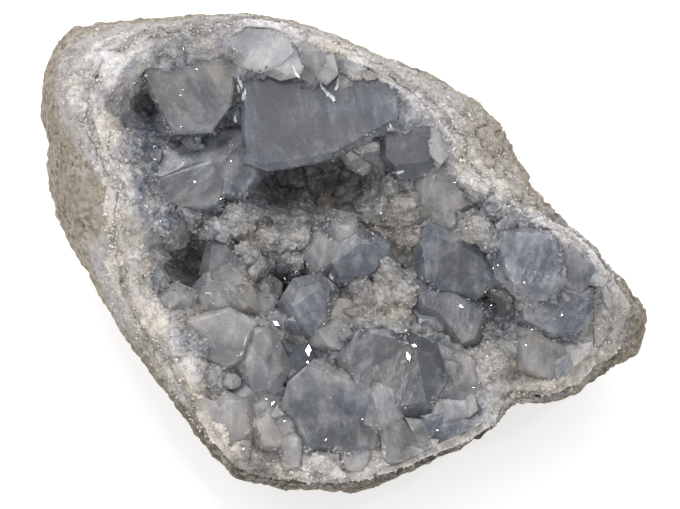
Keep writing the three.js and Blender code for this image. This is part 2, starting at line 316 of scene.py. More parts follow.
# The large crystals: the outline, the front's z at its middle and its slopes along x and y, how much the
# sides flare with depth, the chamfer's width, how many facets break the front, the depth, the number of
# lesser crystals grown side by side with it, paleness, and warmth.
BLOCKS = [
    # the blocks that hang from the upper wall
    ([(-49.5, 44), (-42, 30), (-33, 31), (-28.5, 37), (-27.5, 46), (-33, 53), (-45, 53)],
     -4, 0.02, -0.1, 0.15, 0.6, 0, 15, 0, 0.08, 0.35),
    ([(-24.5, 44), (-23.5, 23), (-18, 21.3), (-4, 24), (13, 33), (14, 40), (8, 48), (-18, 50)],
     -4, 0.03, -0.12, 0.3, 0.8, 0, 18, 0, 0.1, 0.05),
    ([(-28.5, 51), (-26, 47.5), (-21, 46), (-15, 47.5), (-12, 51), (-14, 56), (-24, 57)],
     2.5, 0.0, -0.1, 0.4, 1.5, 1, 10, 2, 0.5, 0.0),
    ([(-12, 52), (-10, 45.5), (-7, 43.5), (-3.5, 46), (-4, 52), (-8, 54)],
     1.5, 0.1, -0.1, 0.65, 1.2, 2, 10, 3, 0.26, 0.1),
    ([(-3.5, 52), (-1.5, 47), (3, 46.3), (5.5, 49), (3, 52)],
     0, 0.0, -0.1, 0.65, 1.0, 2, 9, 3, 0.35, 0.15),
    ([(5, 50), (6, 45), (12, 43), (15, 45), (12, 48)],
     -2, 0.0, -0.1, 0.65, 1.0, 2, 9, 3, 0.55, 0.3),
    ([(8.5, 34), (9, 24), (13, 19.5), (20, 20.5), (24, 26), (23, 33), (17, 37)],
     -8, 0.1, -0.1, 0.4, 1.6, 2, 13, 1, -0.03, 0.0),
    ([(0, 27), (3, 23), (9, 19.8), (12, 22), (9, 30), (4, 30)],
     -10, -0.2, -0.1, 0.4, 1.3, 2, 12, 1, 0.1, 0.1),
    ([(22.8, 34.5), (22.3, 29), (24.5, 25.5), (29, 29), (32, 33), (28, 36.5)],
     -5.5, 0.1, 0.1, 0.4, 0.6, 1, 8, 1, 0.7, 0.3),
    # the left side
    ([(-36, 28), (-36, 16.5), (-26, 14), (-22, 18.5), (-21.5, 26), (-26.5, 30)],
     -8.5, 0.1, -0.1, 0.4, 0.8, 2, 12, 0, -0.06, 0.05),
    ([(-49.5, 22), (-48.5, 13), (-43, 11.5), (-32, 12), (-29, 20), (-33, 27), (-45, 27.5)],
     -9.2, 0.04, -0.12, 0.65, 1.0, 2, 12, 0, -0.12, 0.0),
    ([(-59, 35), (-57.5, 40), (-54.5, 41), (-53.5, 36), (-55.5, 32)],
     -6, 0.1, 0.0, 0.3, 1.0, 2, 9, 0, 0.3, 0.15),
    ([(-49, 7), (-46, 2), (-41, 3), (-40, 8), (-44, 11)],
     -8, 0.2, 0.1, 0.65, 1.2, 2, 9, 1, 0.3, 0.3),
    ([(-50.5, -5), (-49.5, -9.5), (-46, -11), (-44.5, -7), (-47, -3.5)],
     -7.5, 0.1, 0.0, 0.5, 0.8, 2, 9, 0, 0.3, 0.1),
    # the middle
    ([(-13.5, -13), (-11, -18.3), (-7, -19.3), (-3.6, -16), (-3.3, -10.5), (-6.5, -7.8), (-11, -9)],
     -7.8, 0.0, -0.05, 0.8, 1.1, 1, 12, 0, 0.14, 0.1),
    ([(-4, 0), (-1, -6), (5, -6.5), (9, -3), (9, 2), (4, 4.5), (-2, 3.5)],
     -10.3, 0.0, -0.05, 0.8, 1.2, 2, 12, 0, 0.05, 0.05),
    ([(-8.5, 1), (-6, -4.8), (-2.5, -3), (-3, 3), (-6, 5)],
     -10.5, -0.05, -0.05, 0.7, 0.7, 1, 11, 0, 0.12, 0.25),
    ([(-2.5, 6), (-1, 3), (1.2, 4), (0.8, 7.3), (-1.5, 7.8)],
     -10.5, 0.0, 0.0, 0.9, 0.8, 2, 10, 1, 0.3, 0.2),
    ([(-8, -20.5), (-5, -24.5), (-1, -26), (3.5, -22), (4.5, -18.8), (0, -17), (-6, -17.5)],
     -8.5, 0.0, -0.15, 0.9, 1.4, 2, 11, 1, 0.35, 0.3),
    ([(-22, -11), (-21.5, -15.5), (-18, -15.8), (-17, -12), (-19.5, -9.5)],
     -11.5, 0.0, -0.1, 0.9, 0.7, 2, 9, 1, 0.1, 0.1),
    ([(-18, -16.5), (-18, -19.5), (-15.2, -19.5), (-15, -16.8)],
     -10.5, 0.2, 0.1, 0.9, 0.5, 1, 8, 1, 0.6, 0.1),
    # the lower wall
    ([(-0.5, -27), (6, -20.5), (16, -21.3), (21.5, -23.5), (24.5, -31), (21, -38.5), (10, -41), (1, -34)],
     -1.5, 0.03, 0.1, 0.4, 1.6, 2, 18, 1, 0.14, 0.24),
    ([(-14, -42), (-12, -33.5), (-6.5, -29), (1, -31), (8, -37), (9, -47), (1, -51), (-10, -49)],
     -2.2, -0.04, 0.14, 0.6, 1.6, 3, 16, 2, 0.15, 0.05),
    ([(-25.3, -27), (-22.5, -20), (-18.5, -20.5), (-14.3, -28.5), (-18, -35.5), (-23, -36.5)],
     -3.2, 0.1, 0.12, 0.4, 1.2, 2, 14, 2, 0.14, 0.1),
    ([(-38, -18), (-37, -26), (-30, -28.5), (-25.3, -26.5), (-22.8, -18), (-29, -15.5)],
     -3.5, -0.04, 0.1, 0.4, 0.8, 2, 10, 0, 0.35, 0.15),
    ([(-33, -40), (-30, -36), (-25, -38), (-23, -44), (-27, -49), (-32, -46)],
     -2.5, 0.0, 0.15, 0.6, 1.4, 3, 11, 1, 0.42, 0.3),
    ([(-22, -42), (-18, -39.5), (-14, -43), (-15, -48), (-20, -49)],
     -3.5, 0.0, 0.15, 0.6, 1.0, 2, 10, 1, 0.36, 0.2),
    ([(-16, -48), (-13.5, -45.5), (-11, -47.5), (-11.5, -53), (-14.5, -54)],
     -4.6, 0.1, 0.15, 0.9, 0.8, 2, 9, 0, 0.5, 0.15),
    ([(0, -50.5), (3, -47.5), (6.5, -50), (5, -54.5), (1.5, -54)],
     -5.6, -0.1, 0.15, 0.9, 0.7, 3, 9, 1, 0.42, 0.1),
    ([(10, -42), (19.5, -42.5), (21.5, -48), (17, -53), (10.5, -53)],
     -3, 0.0, 0.12, 0.4, 1.2, 2, 11, 3, 0.12, 0.05),
    ([(21.5, -44), (30, -42), (38, -43), (35.5, -46.5), (27, -50), (21.5, -50)],
     -4, 0.0, 0.12, 0.4, 1.0, 2, 10, 4, -0.08, 0.15),
    ([(19, -40), (21, -37.3), (30, -37.8), (31, -41), (24, -42.5)],
     -5, 0.0, 0.1, 0.4, 0.6, 2, 9, 3, 0.5, 0.2),
    ([(22, -24), (30, -26.5), (33.5, -33), (30, -37.5), (23, -37.5), (24, -30)],
     -5, 0.0, 0.1, 0.65, 1.2, 3, 12, 3, 0.3, 0.35),
    ([(-14.5, -27), (-10, -24.5), (-7.5, -29), (-12, -34), (-17, -34.5)],
     -8, 0.1, 0.1, 0.65, 1.0, 2, 11, 2, 0.0, 0.0),
    ([(-24, -36.5), (-18, -34.5), (-13.5, -37), (-15, -41.5), (-22, -42)],
     -5.5, 0.0, 0.1, 0.65, 1.0, 3, 11, 4, 0.3, 0.1),
    # the right side
    ([(18.5, 20), (19, 12), (26, 8.5), (31.5, 12), (30.5, 20), (25, 23.5)],
     -9.5, 0.1, 0.0, 0.65, 1.5, 3, 12, 4, 0.2, 0.45),
    ([(19, 2), (20, -5), (26, -10), (33, -10.5), (38, -6.5), (36, -1), (28, 2.5), (22, 6)],
     -8.5, 0.05, 0.0, 0.4, 1.2, 2, 14, 0, -0.04, 0.0),
    ([(38.5, 1), (40, -5), (44.5, -9.6), (51, -10), (55, -6), (54, 2), (50, 6), (42, 6)],
     -2.5, 0.0, -0.05, 0.7, 1.6, 3, 16, 0, 0.3, 0.0),
    ([(51, 5), (54, -7), (60, -9), (63.5, -5), (63.5, 1), (58, 5.5)],
     -5, 0.1, 0.0, 0.7, 1.6, 3, 13, 1, 0.22, 0.1),
    ([(44.5, -12), (45, -17.5), (50, -20.3), (57.5, -20), (62, -16), (62, -10), (53, -9.3)],
     -7, 0.05, 0.1, 0.4, 1.3, 2, 13, 0, 0.02, 0.0),
    ([(35, -8), (36.5, -15.5), (43, -17), (46, -11), (43, -7)],
     -15, 0.1, 0.05, 0.3, 1.2, 2, 10, 0, 0.0, 0.0),
    ([(20, -10.5), (20.5, -20), (26.5, -25), (34, -21), (36, -14), (30, -10)],
     -10, 0.05, 0.1, 0.7, 1.4, 3, 12, 1, -0.12, 0.1),
    ([(45, -23), (46, -30), (52, -33), (56, -29), (55, -22.5), (50, -20.5)],
     -9.5, 0.0, 0.15, 0.9, 1.3, 3, 11, 4, 0.22, 0.15),
    ([(55.5, -23), (55.5, -30.5), (59, -33.8), (62, -30), (61.5, -23.5)],
     -10, 0.05, 0.15, 0.9, 1.2, 3, 10, 4, 0.5, 0.2),
    ([(62.5, -6), (64, -12), (67.5, -17.5), (70, -13), (67.5, -7)],
     -8.5, 0.15, 0.1, 0.9, 1.0, 3, 10, 4, 0.55, 0.2),
    ([(61.5, -18), (62, -23), (66, -25), (68.5, -21), (66, -17.5)],
     -11, 0.1, 0.1, 0.9, 1.0, 3, 9, 3, 0.4, 0.3),
]

# More of them, round the open pit on the left.
PIT_BLOCKS = [
    ([(-32.5, 1), (-28, 1.6), (-24.5, -1.5), (-25, -7.5), (-30, -8.6), (-33.6, -5)],
     -10, 0.05, -0.05, 0.6, 0.9, 2, 11, 0, 0.0, 0.3),
    ([(-36.6, -11), (-34, -7.4), (-29, -6.6), (-24, -8.8), (-23, -13.6), (-28.5, -15.4), (-35.5, -15)],
     -8.5, 0.0, 0.1, 0.6, 0.9, 2, 11, 1, 0.24, 0.4),
    ([(-45.6, -11.6), (-42, -9.4), (-38.4, -11), (-38.8, -15.4), (-44, -15.8)],
     -6.5, 0.0, 0.1, 0.6, 0.8, 2, 9, 1, 0.3, 0.2),
]
BROAD = 0.62  # a broad side's share of a small crystal's width
SIDE_HIGHLIGHT = 0.2  # painted highlight: how much paler the sides and chamfers of the large crystals are than their fronts
SMALL_FACET_HIGHLIGHT = 0.08  # painted highlight along the edges: how much paler a facet of under 4 square millimetres is than one of over 30

# Cleavage cracks, whose silver reflection is painted on: x, y, length, width, turn in degrees.
FLAKES = [
    [-26.3, 43, 8, 1.2, 100],
    [-24.6, 40, 4.5, 1.0, 95],
    [-27, 33.5, 3, 0.8, 70],
    [-12, 44.5, 3.5, 1.0, 120],
    [-5.5, 41.5, 6.5, 1.0, 115],
    [-3.4, 39.5, 5.5, 0.9, 130],
    [-1.2, 43, 7, 1.1, 110],
    [11.5, 31.3, 3.6, 1.2, 115],
    [14.8, 19.8, 2.6, 0.9, 15],
    [-44.8, -9.2, 2.4, 0.9, 20],
    [-33, -10.2, 2.8, 0.7, -5],
    [-24.3, -22.5, 7, 0.5, 72],
]

SLIVERS = 4  # slivers side by side in each crack
CLEAR_SHARE = 0.6  # how much of the light goes through the small clear crystals

# Facets that catch the small lamp: x, y, width.
GLINTS = [
    [-8.6, -24.6, 6.2],
    [-8.8, -27.6, 2.4],
    [-17.3, -37.8, 3.6],
    [-19, -36.6, 1.0],
    [16.4, -26.4, 6.2],
    [17.8, -23.4, 4.2],
    [29.4, -13.6, 3.0],
    [-16.6, -18, 4.6],
    [-30.6, 13.2, 1.6],
    [-26.6, 12.4, 1.2],
    [18.4, 6.4, 1.3],
    [-6.4, -56.6, 1.2],
    [-8.8, -55.2, 1.0],
    [5, -19.4, 1.0],
    [47.2, -19.4, 1.2],
    [45, -7.6, 1.0],
]

VIEW_MIDDLE = np.array([-0.75, -0.63, -12.0])  # the point that the camera looks at
SENSOR = 36.0  # the width of the camera's sensor, millimetres

# The lamps' places in the face frame, in metres from the view's middle.
LAMP_PLACES = [np.array([-0.35, 0.75, 1.0]), np.array([0.55, 0.35, 1.1]), np.array([-0.2, -0.3, 1.3])]
SOFTBOX_PLACE = np.array([-0.15, 1.0, 0.9])
LAMP_SIZE, SOFTBOX_SIZE = 0.07, 2.0  # their widths, metres
FLOOR_HALF = 3.0  # half the floor's width, metres


# ---- the shape of the nodule, in the face frame


def to_row(points):
    """Face-frame millimetres as the row's metres: turned by the lean about x, moved, and scaled."""
    return (points @ FACE_AXES + FACE_ORIGIN) * MM


def unit(vectors):
    """Vectors of length 1."""
    return vectors / np.maximum(np.linalg.norm(vectors, axis=-1, keepdims=True), 1e-9)


def lerp(low, high, share):
    """The value at a share of the way from low to high."""
    return low + (high - low) * share


def eased(low, high, value):
    """0 below low, 1 above high, and the cubic 3s^2 - 2s^3 of the share s between them."""
    share = np.clip((value - low) / (high - low), 0, 1)
    return share * share * (3 - 2 * share)


# A random number at each place of a lattice that repeats.
LATTICE = np.random.default_rng(11).uniform(-1, 1, (64, 64, 64))


def noise(points, size, seed=0):
    """Smooth noise from -1 to 1: the numbers at the eight corners of the lattice cell round a point,
    blended by the eased shares of its way between them. A cell is size across."""
    place = points / size + seed * 7.31
    low = np.floor(place).astype(int)
    share = place - low
    share = share * share * (3 - 2 * share)
    total = np.zeros(points.shape[:-1])
    for corner in np.ndindex(2, 2, 2):
        at = (low + corner) % len(LATTICE)
        weight = np.prod(np.where(corner, share, 1 - share), axis=-1)
        total += weight * LATTICE[at[..., 0], at[..., 1], at[..., 2]]
    return total


# A random place inside each cell of a lattice that repeats.
SCATTER = np.random.default_rng(12).uniform(0, 1, (64, 64, 64, 3))


def domes(points, size):
    """Round lumps, 1 on top and 0 in the grooves between them: sqrt(1 - (d / 0.8)^2), where d is the
    distance to the nearest of the centres that are scattered one to a lattice cell, size across."""
    place = points / size
    low = np.floor(place).astype(int)
    nearest = np.full(points.shape[:-1], 9.0)
    for step in np.ndindex(3, 3, 3):
        cell = low + np.array(step) - 1
        at = cell % len(SCATTER)
        centre = cell + SCATTER[at[..., 0], at[..., 1], at[..., 2]]
        nearest = np.minimum(nearest, np.linalg.norm(place - centre, axis=-1))
    return np.sqrt(np.clip(1 - (nearest / 0.8) ** 2, 0, 1))


# The boxes of the blocky heads: their axes, half their sizes, and the slants of their tops.
HEAD_AXES = np.linalg.qr(np.random.default_rng(13).normal(size=(997, 3, 3)))[0]
HEAD_HALVES = np.random.default_rng(14).uniform(0.5, 0.85, (997, 3))
HEAD_TOPS = np.random.default_rng(15).normal(0, 0.45, (997, 3))


def heads(points, size):
    """Blocky crystal heads, grown together. Round each centre, scattered one to a lattice cell, lies a
    turned box with its edges cut off, and the height is 1 - the share of the way from the centre to the
    box's faces, cut by a slanting top. The highest head shows. Returns heights and each head's own
    number from 0 to 1."""
    place = points / size
    low = np.floor(place).astype(int)
    best = np.zeros(points.shape[:-1])
    own = np.full(points.shape[:-1], 0.5)
    for step in np.ndindex(3, 3, 3):
        cell = low + np.array(step) - 1
        at = cell % len(SCATTER)
        spot = SCATTER[at[..., 0], at[..., 1], at[..., 2]]
        row = (at @ [31, 173, 7]) % len(HEAD_AXES)
        away = place - cell - spot
        shares = np.abs(np.einsum("...k,...jk->...j", away, HEAD_AXES[row])) / HEAD_HALVES[row]
        cut = (shares.sum(axis=-1) - shares.min(axis=-1)) / 1.45
        height = 1 - np.maximum(shares.max(axis=-1), cut)
        height = np.minimum(height, 0.45 + np.sum(away * HEAD_TOPS[row], axis=-1))
        higher = height > best
        best = np.where(higher, height, best)
        own = np.where(higher, spot[..., 0], own)
    return best, own


def closed_curve(points, shares):
    """A smooth closed curve through points: between two of them it is the cubic whose slope at each is
    half the step from the point before to the point after."""
    place = shares * len(points)
    row = np.floor(place).astype(int)
    s = (place - row)[:, None]
    before, start, end, after = (points[(row + k) % len(points)] for k in (-1, 0, 1, 2))
    leave, arrive = (end - before) / 2, (after - start) / 2
    bend = 3 * (end - start) - 2 * leave - arrive
    twist = 2 * (start - end) + leave + arrive
    return start + s * leave + s**2 * bend + s**3 * twist


def girth(shares):
    """The nodule's widest line."""
    return closed_curve(GIRTH, shares)


def crest(shares):
    """The rim's highest line: the girth's points moved towards the hollow's floor by their inset."""
    inward = unit(FLOOR[:2] - GIRTH[:, :2]) * INSET[:, None]
    return closed_curve(np.column_stack([GIRTH[:, :2] + inward, CREST_Z]), shares)


def band_start(shares):
    """Where the pale band starts on the way over the rim."""
    return np.interp(shares, np.arange(len(BAND)) / len(BAND), BAND, period=1)


def quarter(degrees, fullness):
    """A quarter of a superellipse: 1 - cos^f across from its start, and sin^f along."""
    angle = np.radians(degrees)
    return 1 - np.clip(np.cos(angle), 0, 1) ** fullness, np.sin(angle) ** fullness


def between(start, end, across, down):
    """Rings from start to end: their x and y go the share across of the way, their z the share down."""
    shares = np.stack([across, across, down], axis=-1)[:, None, :]
    return start + (end - start) * shares


def grid_normals(rings):
    """Unit normals of a grid of rings whose columns close on themselves: column step x row step."""
    sideways = np.roll(rings, -1, axis=1) - np.roll(rings, 1, axis=1)
    return unit(np.cross(sideways, np.gradient(rings, axis=0)))


def grid_faces(rows, columns):
    """Four corners for each cell of a closed grid, and a fan from its first and last ring to the two
    poles, whose vertices follow the grid's."""
    at = np.arange(rows * columns).reshape(rows, columns)
    beside = np.roll(at, -1, axis=1)
    cells = np.stack([at[:-1], beside[:-1], beside[1:], at[1:]], axis=-1).reshape(-1, 4)
    first = np.full(columns, rows * columns)
    fans = np.concatenate(
        [
            np.stack([first, beside[0], at[0]], axis=-1),
            np.stack([first + 1, at[-1], beside[-1]], axis=-1),
        ]
    )
    corners = np.concatenate([cells.ravel(), fans.ravel()])
    starts = np.concatenate([np.arange(len(cells)) * 4, cells.size + np.arange(len(fans)) * 3])
    return corners, starts


def lumps(points):
    """How far the outside stands out: a sum of products of three sines, one along each axis."""
    x, y, z = np.moveaxis(points, -1, 0)
    total = 0
    for i, (along_x, along_y, along_z, height) in enumerate(LUMPS):
        waves = np.sin(x / along_x + i + 1) * np.sin(y / along_y + i) * np.sin(z / along_z + i + 2)
        total = total + height * waves
    return total


def stone_rings(columns, back_rows, rim_rows, wall_rows):
    """The stone's surface at a share t round it: quarters of superellipses from the middle of the back
    out to the girth, from there over the rim to the crest, and down the hollow's wall to its floor."""
    t = np.arange(columns) / columns
    degrees = 90 * (np.arange(back_rows) + 1) / (back_rows + 1)
    across, along = quarter(degrees, BACK_FULLNESS)
    back = between(BACK, girth(t), along, across)
    fade = np.minimum(1, (90 - degrees) / LUMPS_FADE)[:, None, None]
    back = back + unit(back - HEART) * lumps(back)[..., None] * fade
    rim = between(girth(t), crest(t), *quarter(90 * np.arange(rim_rows) / rim_rows, WALL_FULLNESS))
    wall_degrees = 90 * (np.arange(wall_rows) / wall_rows) ** 1.3
    wall = between(crest(t), FLOOR, *quarter(wall_degrees, WALL_FULLNESS))
    return np.concatenate([back, rim, wall])


def bed_rings(columns, rim_rows, degrees):
    """The crystal bed at a share t round it: the last part of the way over the rim, and a quarter of a
    superellipse from the crest down to its floor, with the edge between the two worn round, plus the
    mounds, each height * exp(-(distance / radius)^2)."""
    t = np.arange(columns) / columns
    rim_share = lerp(np.clip(band_start(t), *BED_START), 1, np.arange(rim_rows)[:, None] / rim_rows)
    across, along = quarter(90 * rim_share, WALL_FULLNESS)
    over = lerp(girth(t), crest(t), np.stack([across, across, along], axis=-1))
    rings = np.concatenate([over, between(crest(t), BED_FLOOR, *quarter(degrees, BED_FULLNESS))])
    worn = slice(rim_rows // 2, rim_rows + WORN_ROWS)
    for _ in range(WORN_PASSES):
        part = rings[worn]
        rings[worn][1:-1] = (part[:-2] + 2 * part[1:-1] + part[2:]) / 4
    rings[..., 2] += BED_SHIFT
    fade = np.minimum(1, np.append(np.zeros(rim_rows), degrees) / BED_FADE)[:, None]
    for x, y, radius, height in MOUNDS:
        away = np.hypot(rings[..., 0] - x, rings[..., 1] - y) / radius
        rings[..., 2] += fade * height * np.exp(-(away**2))
    return rings


@functools.lru_cache(maxsize=1)
def crest_line():
    """The crest seen straight at the face, at even shares round it, and its outward directions."""
    line = crest(np.arange(CREST_STEPS) / CREST_STEPS)[:, :2]
    step = np.roll(line, -1, axis=0) - np.roll(line, 1, axis=0)
    return line, unit(np.column_stack([step[:, 1], -step[:, 0]]))


def rim_limits(middle):
    """Planes that keep a large crystal inside the rim: upright ones along the crest where it passes the
    crystal's middle, and a little before and after that."""
    line, out = crest_line()
    nearest = np.argmax(unit(line - FLOOR[:2]) @ (middle - FLOOR[:2]))
    chosen = (nearest + LIMIT_STEPS) % len(line)
    reach = np.sum(out[chosen] * line[chosen], axis=1) + RIM_OVERHANG
    return np.column_stack([out[chosen], np.zeros(len(chosen)), reach])


def way_out(points):
    """How far out a point is: its distance from the hollow's middle over the crest's, the same way."""
    line = crest_line()[0] - FLOOR[:2]
    angles = np.arctan2(line[:, 1], line[:, 0])
    order = np.argsort(angles)
    away = points[..., :2] - FLOOR[:2]
    reach = np.interp(
        np.arctan2(away[..., 1], away[..., 0]),
        angles[order],
        np.hypot(line[order, 0], line[order, 1]),
        period=2 * math.pi,
    )
    return np.hypot(away[..., 0], away[..., 1]) / reach


def depth_shade_share(points):
    """The share of painted shade in the hollow: 0 at the face, 1 in its depth."""
    return eased(-8, -25, points[..., 2])


def tints(points):
    """Three shares that colour the crust: how pale it is, how warm, and how deep it lies, which sets its
    painted shade. It pales and warms towards its edge, each patch adds its part * exp(-(distance /
    radius)^2), and so does noise."""
    out = way_out(points) + 0.07 * noise(points, 6.0, 5) + 0.04 * noise(points, 2.2, 6)
    pale = 0.12 + 0.62 * eased(0.81, 1.0, out)
    warm = 0.12 + 0.25 * eased(0.88, 1.06, out)
    for x, y, radius, paler, warmer in PATCHES:
        near = np.exp(-((points[..., 0] - x) ** 2 + (points[..., 1] - y) ** 2) / radius**2)
        pale = pale + paler * near
        warm = warm + warmer * near
    pale = pale + 0.12 * noise(points, 9.0, 3)
    warm = warm + 0.12 * noise(points, 7.0, 4)
    return np.clip(pale, 0, 1), np.clip(warm, 0, 1), depth_shade_share(points)


def outline_edges(outline):
    """An outline's outward directions, one for each edge, and how far it reaches along each."""
    points = np.array(outline, float)
    step = np.roll(points, -1, axis=0) - points
    turn = np.sign(np.sum(points[:, 0] * step[:, 1] - points[:, 1] * step[:, 0]))
    out = unit(np.column_stack([step[:, 1], -step[:, 0]]) * turn)
    return points, out, np.max(out @ points.T, axis=1)


def nearness(points, spots):
    """How near places are to round spots: the most of exp(-(distance / radius)^4) over the spots."""
    share = np.zeros(points.shape[:-1])
    for x, y, radius in spots:
        away = np.hypot(points[..., 0] - x, points[..., 1] - y) / radius
        share = np.maximum(share, np.exp(-(away**4)))
    return share


def hollow_share(points):
    """How much of an open pit a place is."""
    return nearness(points, PITS)


def nestled(rings):
    """The bed drawn up to a few millimetres under the front of each large crystal where it is near one,
    by exp(-(distance / 4)^2), except at the pits, and higher by the rim."""
    open_share = hollow_share(rings)
    under = lerp(3.0, 0.8, eased(0.9, 0.98, way_out(rings)))
    for outline, z, *_ in BLOCKS + PIT_BLOCKS:
        _, out, reach = outline_edges(outline)
        distance = np.max(rings[..., :2] @ out.T - reach, axis=-1)
        near = np.exp(-((np.maximum(distance, 0) / 4) ** 2)) * (1 - open_share) * 0.9
        rings[..., 2] += near * np.maximum(0, z - under - rings[..., 2])
    return rings


def sugary(points):
    """How sugary the crust is: the most of exp(-(distance / radius)^4) over the sugary places, and of the
    crust by the rim, except along the bottom."""
    bottom = points[..., 1] - 0.3 * points[..., 0]
    share = eased(0.86, 0.98, way_out(points)) * eased(-50, -36, bottom)
    for x, y, wide, high in SUGARY:
        away = ((points[..., 0] - x) / wide) ** 2 + ((points[..., 1] - y) / high) ** 2
        share = np.maximum(share, np.exp(-(away**2)))
    return share


@functools.lru_cache(maxsize=1)
def rough_bed(columns, rows):
    """The bed with its crystals: the knobs, each a part of sqrt(radius^2 - distance^2), and on them
    blocky heads of two sizes, or sugary domes of three sizes, along the normals. They grow over its first
    rows, and its very edge is sunk in the stone. Returns rings, normals, and each head's own number."""
    inner = 90 * np.arange(rows - BED_RIM_ROWS) / (rows - BED_RIM_ROWS)
    rings = bed_rings(columns, BED_RIM_ROWS, inner)
    degrees = np.append(np.zeros(BED_RIM_ROWS), inner)
    grown = eased(0, 0.4 * BED_RIM_ROWS, np.arange(rows))[:, None]
    risen = np.minimum(1, degrees / BED_FADE)[:, None]
    rings[..., 2] += BED_LIFT * risen
    rings = nestled(rings)
    knob = np.zeros(rings.shape[:2])
    for x, y, radius in KNOBS:
        away = ((rings[..., 0] - x) ** 2 + (rings[..., 1] - y) ** 2) / radius**2
        knob = np.maximum(knob, radius * np.sqrt(np.clip(1 - away, 0, 1)))
    rings[..., 2] += KNOB_RISE * knob * risen
    normals = grid_normals(rings)
    warped = rings + 1.2 * noise(rings, 5, 1)[..., None]
    share = sugary(warped)
    large, own = heads(rings, 7.5)
    small, small_own = heads(rings, 3.4)
    blocky = 3.7 * large + 1.7 * small
    knobby = 1.6 * domes(warped, 6.5) + 0.9 * heads(rings, 2.4)[0] + 0.3 * domes(rings, 1.2)
    height = lerp(blocky, knobby, share) + 0.6 * noise(rings, 6, 2) + 0.12 * noise(rings, 0.8, 6) - 1.6
    edge = 1.5 * large + 1.1 * small + 0.7 * noise(rings, 5, 2) - 1.2
    height = lerp(edge, height, np.minimum(1, degrees / 10)[:, None])
    height = lerp(0.3, 1, grown) * height - BED_EDGE_SINK * (1 - grown)
    rings = rings + normals * height[..., None]
    own = lerp(0.65 * own + 0.35 * small_own, 0.5, share)
    return rings, grid_normals(rings), own


# ---- flat-faced crystals


def polyhedra(normals, offsets):
    """Convex solids, each the room inside its planes n.x = d. Every three planes of a solid meet in one
    point, and the points that lie inside all its planes are its corners. A plane's corners, in the order
    of their angle about their mean, are its face. Returns corners, their solids, and the faces."""
    triples = np.array(list(combinations(range(normals.shape[1]), 3)))
    a, b, c = (normals[:, triples[:, k]] for k in range(3))
    da, db, dc = (offsets[:, triples[:, k], None] for k in range(3))
    bc, ca, ab = np.cross(b, c), np.cross(c, a), np.cross(a, b)
    volume = np.sum(a * bc, axis=-1, keepdims=True)
    meets = np.abs(volume) > 1e-6
    points = (da * bc + db * ca + dc * ab) / np.where(meets, volume, 1)
    inside = np.einsum("ntk,npk->ntp", points, normals) <= offsets[:, None, :] + 1e-7
    solid, triple = np.nonzero(inside.all(axis=-1) & meets[..., 0])
    corners = points[solid, triple]

    face = (solid[:, None] * normals.shape[1] + triples[triple]).ravel()
    corner = np.repeat(np.arange(len(corners)), 3)
    count = np.bincount(face, minlength=normals.shape[0] * normals.shape[1])
    middle = np.stack(
        [np.bincount(face, corners[corner, k], len(count)) for k in range(3)], axis=-1
    ) / np.maximum(count, 1)[:, None]
    facing = normals.reshape(-1, 3)[face]
    helper = np.where(np.abs(facing[:, :1]) < 0.7, [[1.0, 0, 0]], [[0, 1.0, 0]])
    u = unit(np.cross(helper, facing))
    v = np.cross(facing, u)
    arm = corners[corner] - middle[face]
    angle = np.arctan2(np.sum(arm * v, axis=-1), np.sum(arm * u, axis=-1))
    order = np.lexsort([angle, face])
    order = order[count[face[order]] >= 3]
    _, starts = np.unique(face[order], return_index=True)
    return corners, solid, corner[order], starts


RIM_OVERHANG = -0.5  # how far the large crystals may reach over the crest
SWELL = 0.5  # how far the large crystals stand out of their outlines
FOOT_DEPTH = 2.6  # how deep the large crystals go on widening
LIMIT_STEPS = np.array([-14, 0, 14])  # in steps of the crest's line
MOST_PLANES = 34
INERT = [0.0, 0, -1, 1000]  # a plane far off, which pads a solid's planes to the common number
OWN_STEP, CLEAR_STEP = 17.3, 5.1  # how far apart neighbours' patterns are taken, millimetres


def block_planes(rng, outline, z, slope_x, slope_y, flare, chamfer, facets, depth):
    """The planes of a large crystal from its outline. With f(x, y) = z + slopes . (p - middle) for its
    front, they are the front; for each of the outline's edges, with its outward direction o, a side
    o.p + flare (z - f) = reach and a chamfer o.p + s (z - f) = reach - width; facets that break the front,
    z - f = -tilt (o.p - start); and the back, depth below the front."""
    points, out, _ = outline_edges(outline)
    out = unit(out + rng.normal(0, 0.03, out.shape))
    reach = np.max(out @ points.T, axis=1) + SWELL
    middle = points.mean(axis=0)
    slopes = np.array([slope_x, slope_y])
    count = len(out)

    def leaning(directions, up, distance):
        """Planes d.p + up (z - f(p)) = distance, where f is the front's height."""
        flat = directions - np.multiply.outer(up, slopes)
        base = z - slopes @ middle
        return np.column_stack([flat, up, distance + up * base])

    inside = eased(0.94, 0.8, way_out((points + np.roll(points, -1, axis=0)) / 2))
    flare = flare * inside
    sides = leaning(out, flare + rng.normal(0, 0.05, count), reach)
    width = chamfer * rng.uniform(0.2, 1.8, count)
    chamfers = leaning(out, rng.uniform(0.5, 1.6, count), reach - width)
    angle = rng.uniform(0, 2 * math.pi, facets)
    ways = np.column_stack([np.cos(angle), np.sin(angle)])
    radius = np.sqrt(np.ptp(points[:, 0]) * np.ptp(points[:, 1])) / 2
    tilt = rng.uniform(0.07, 0.25, facets)
    begin = ways @ middle + radius * rng.uniform(0.05, 0.6, facets)
    breaks = leaning(ways * tilt[:, None], np.ones(facets), tilt * begin)
    front = leaning(np.zeros((1, 2)), np.ones(1), np.zeros(1))
    back = [[0.0, 0, -1, depth - z]]
    walls = np.column_stack([out, np.zeros(count), reach + np.maximum(flare, 0) * FOOT_DEPTH])
    planes = np.concatenate([front, sides, chamfers, breaks, back, rim_limits(middle), walls])
    planes = planes / np.linalg.norm(planes[:, :3], axis=1, keepdims=True)
    return np.concatenate([planes, np.tile(INERT, (MOST_PLANES - len(planes), 1))])


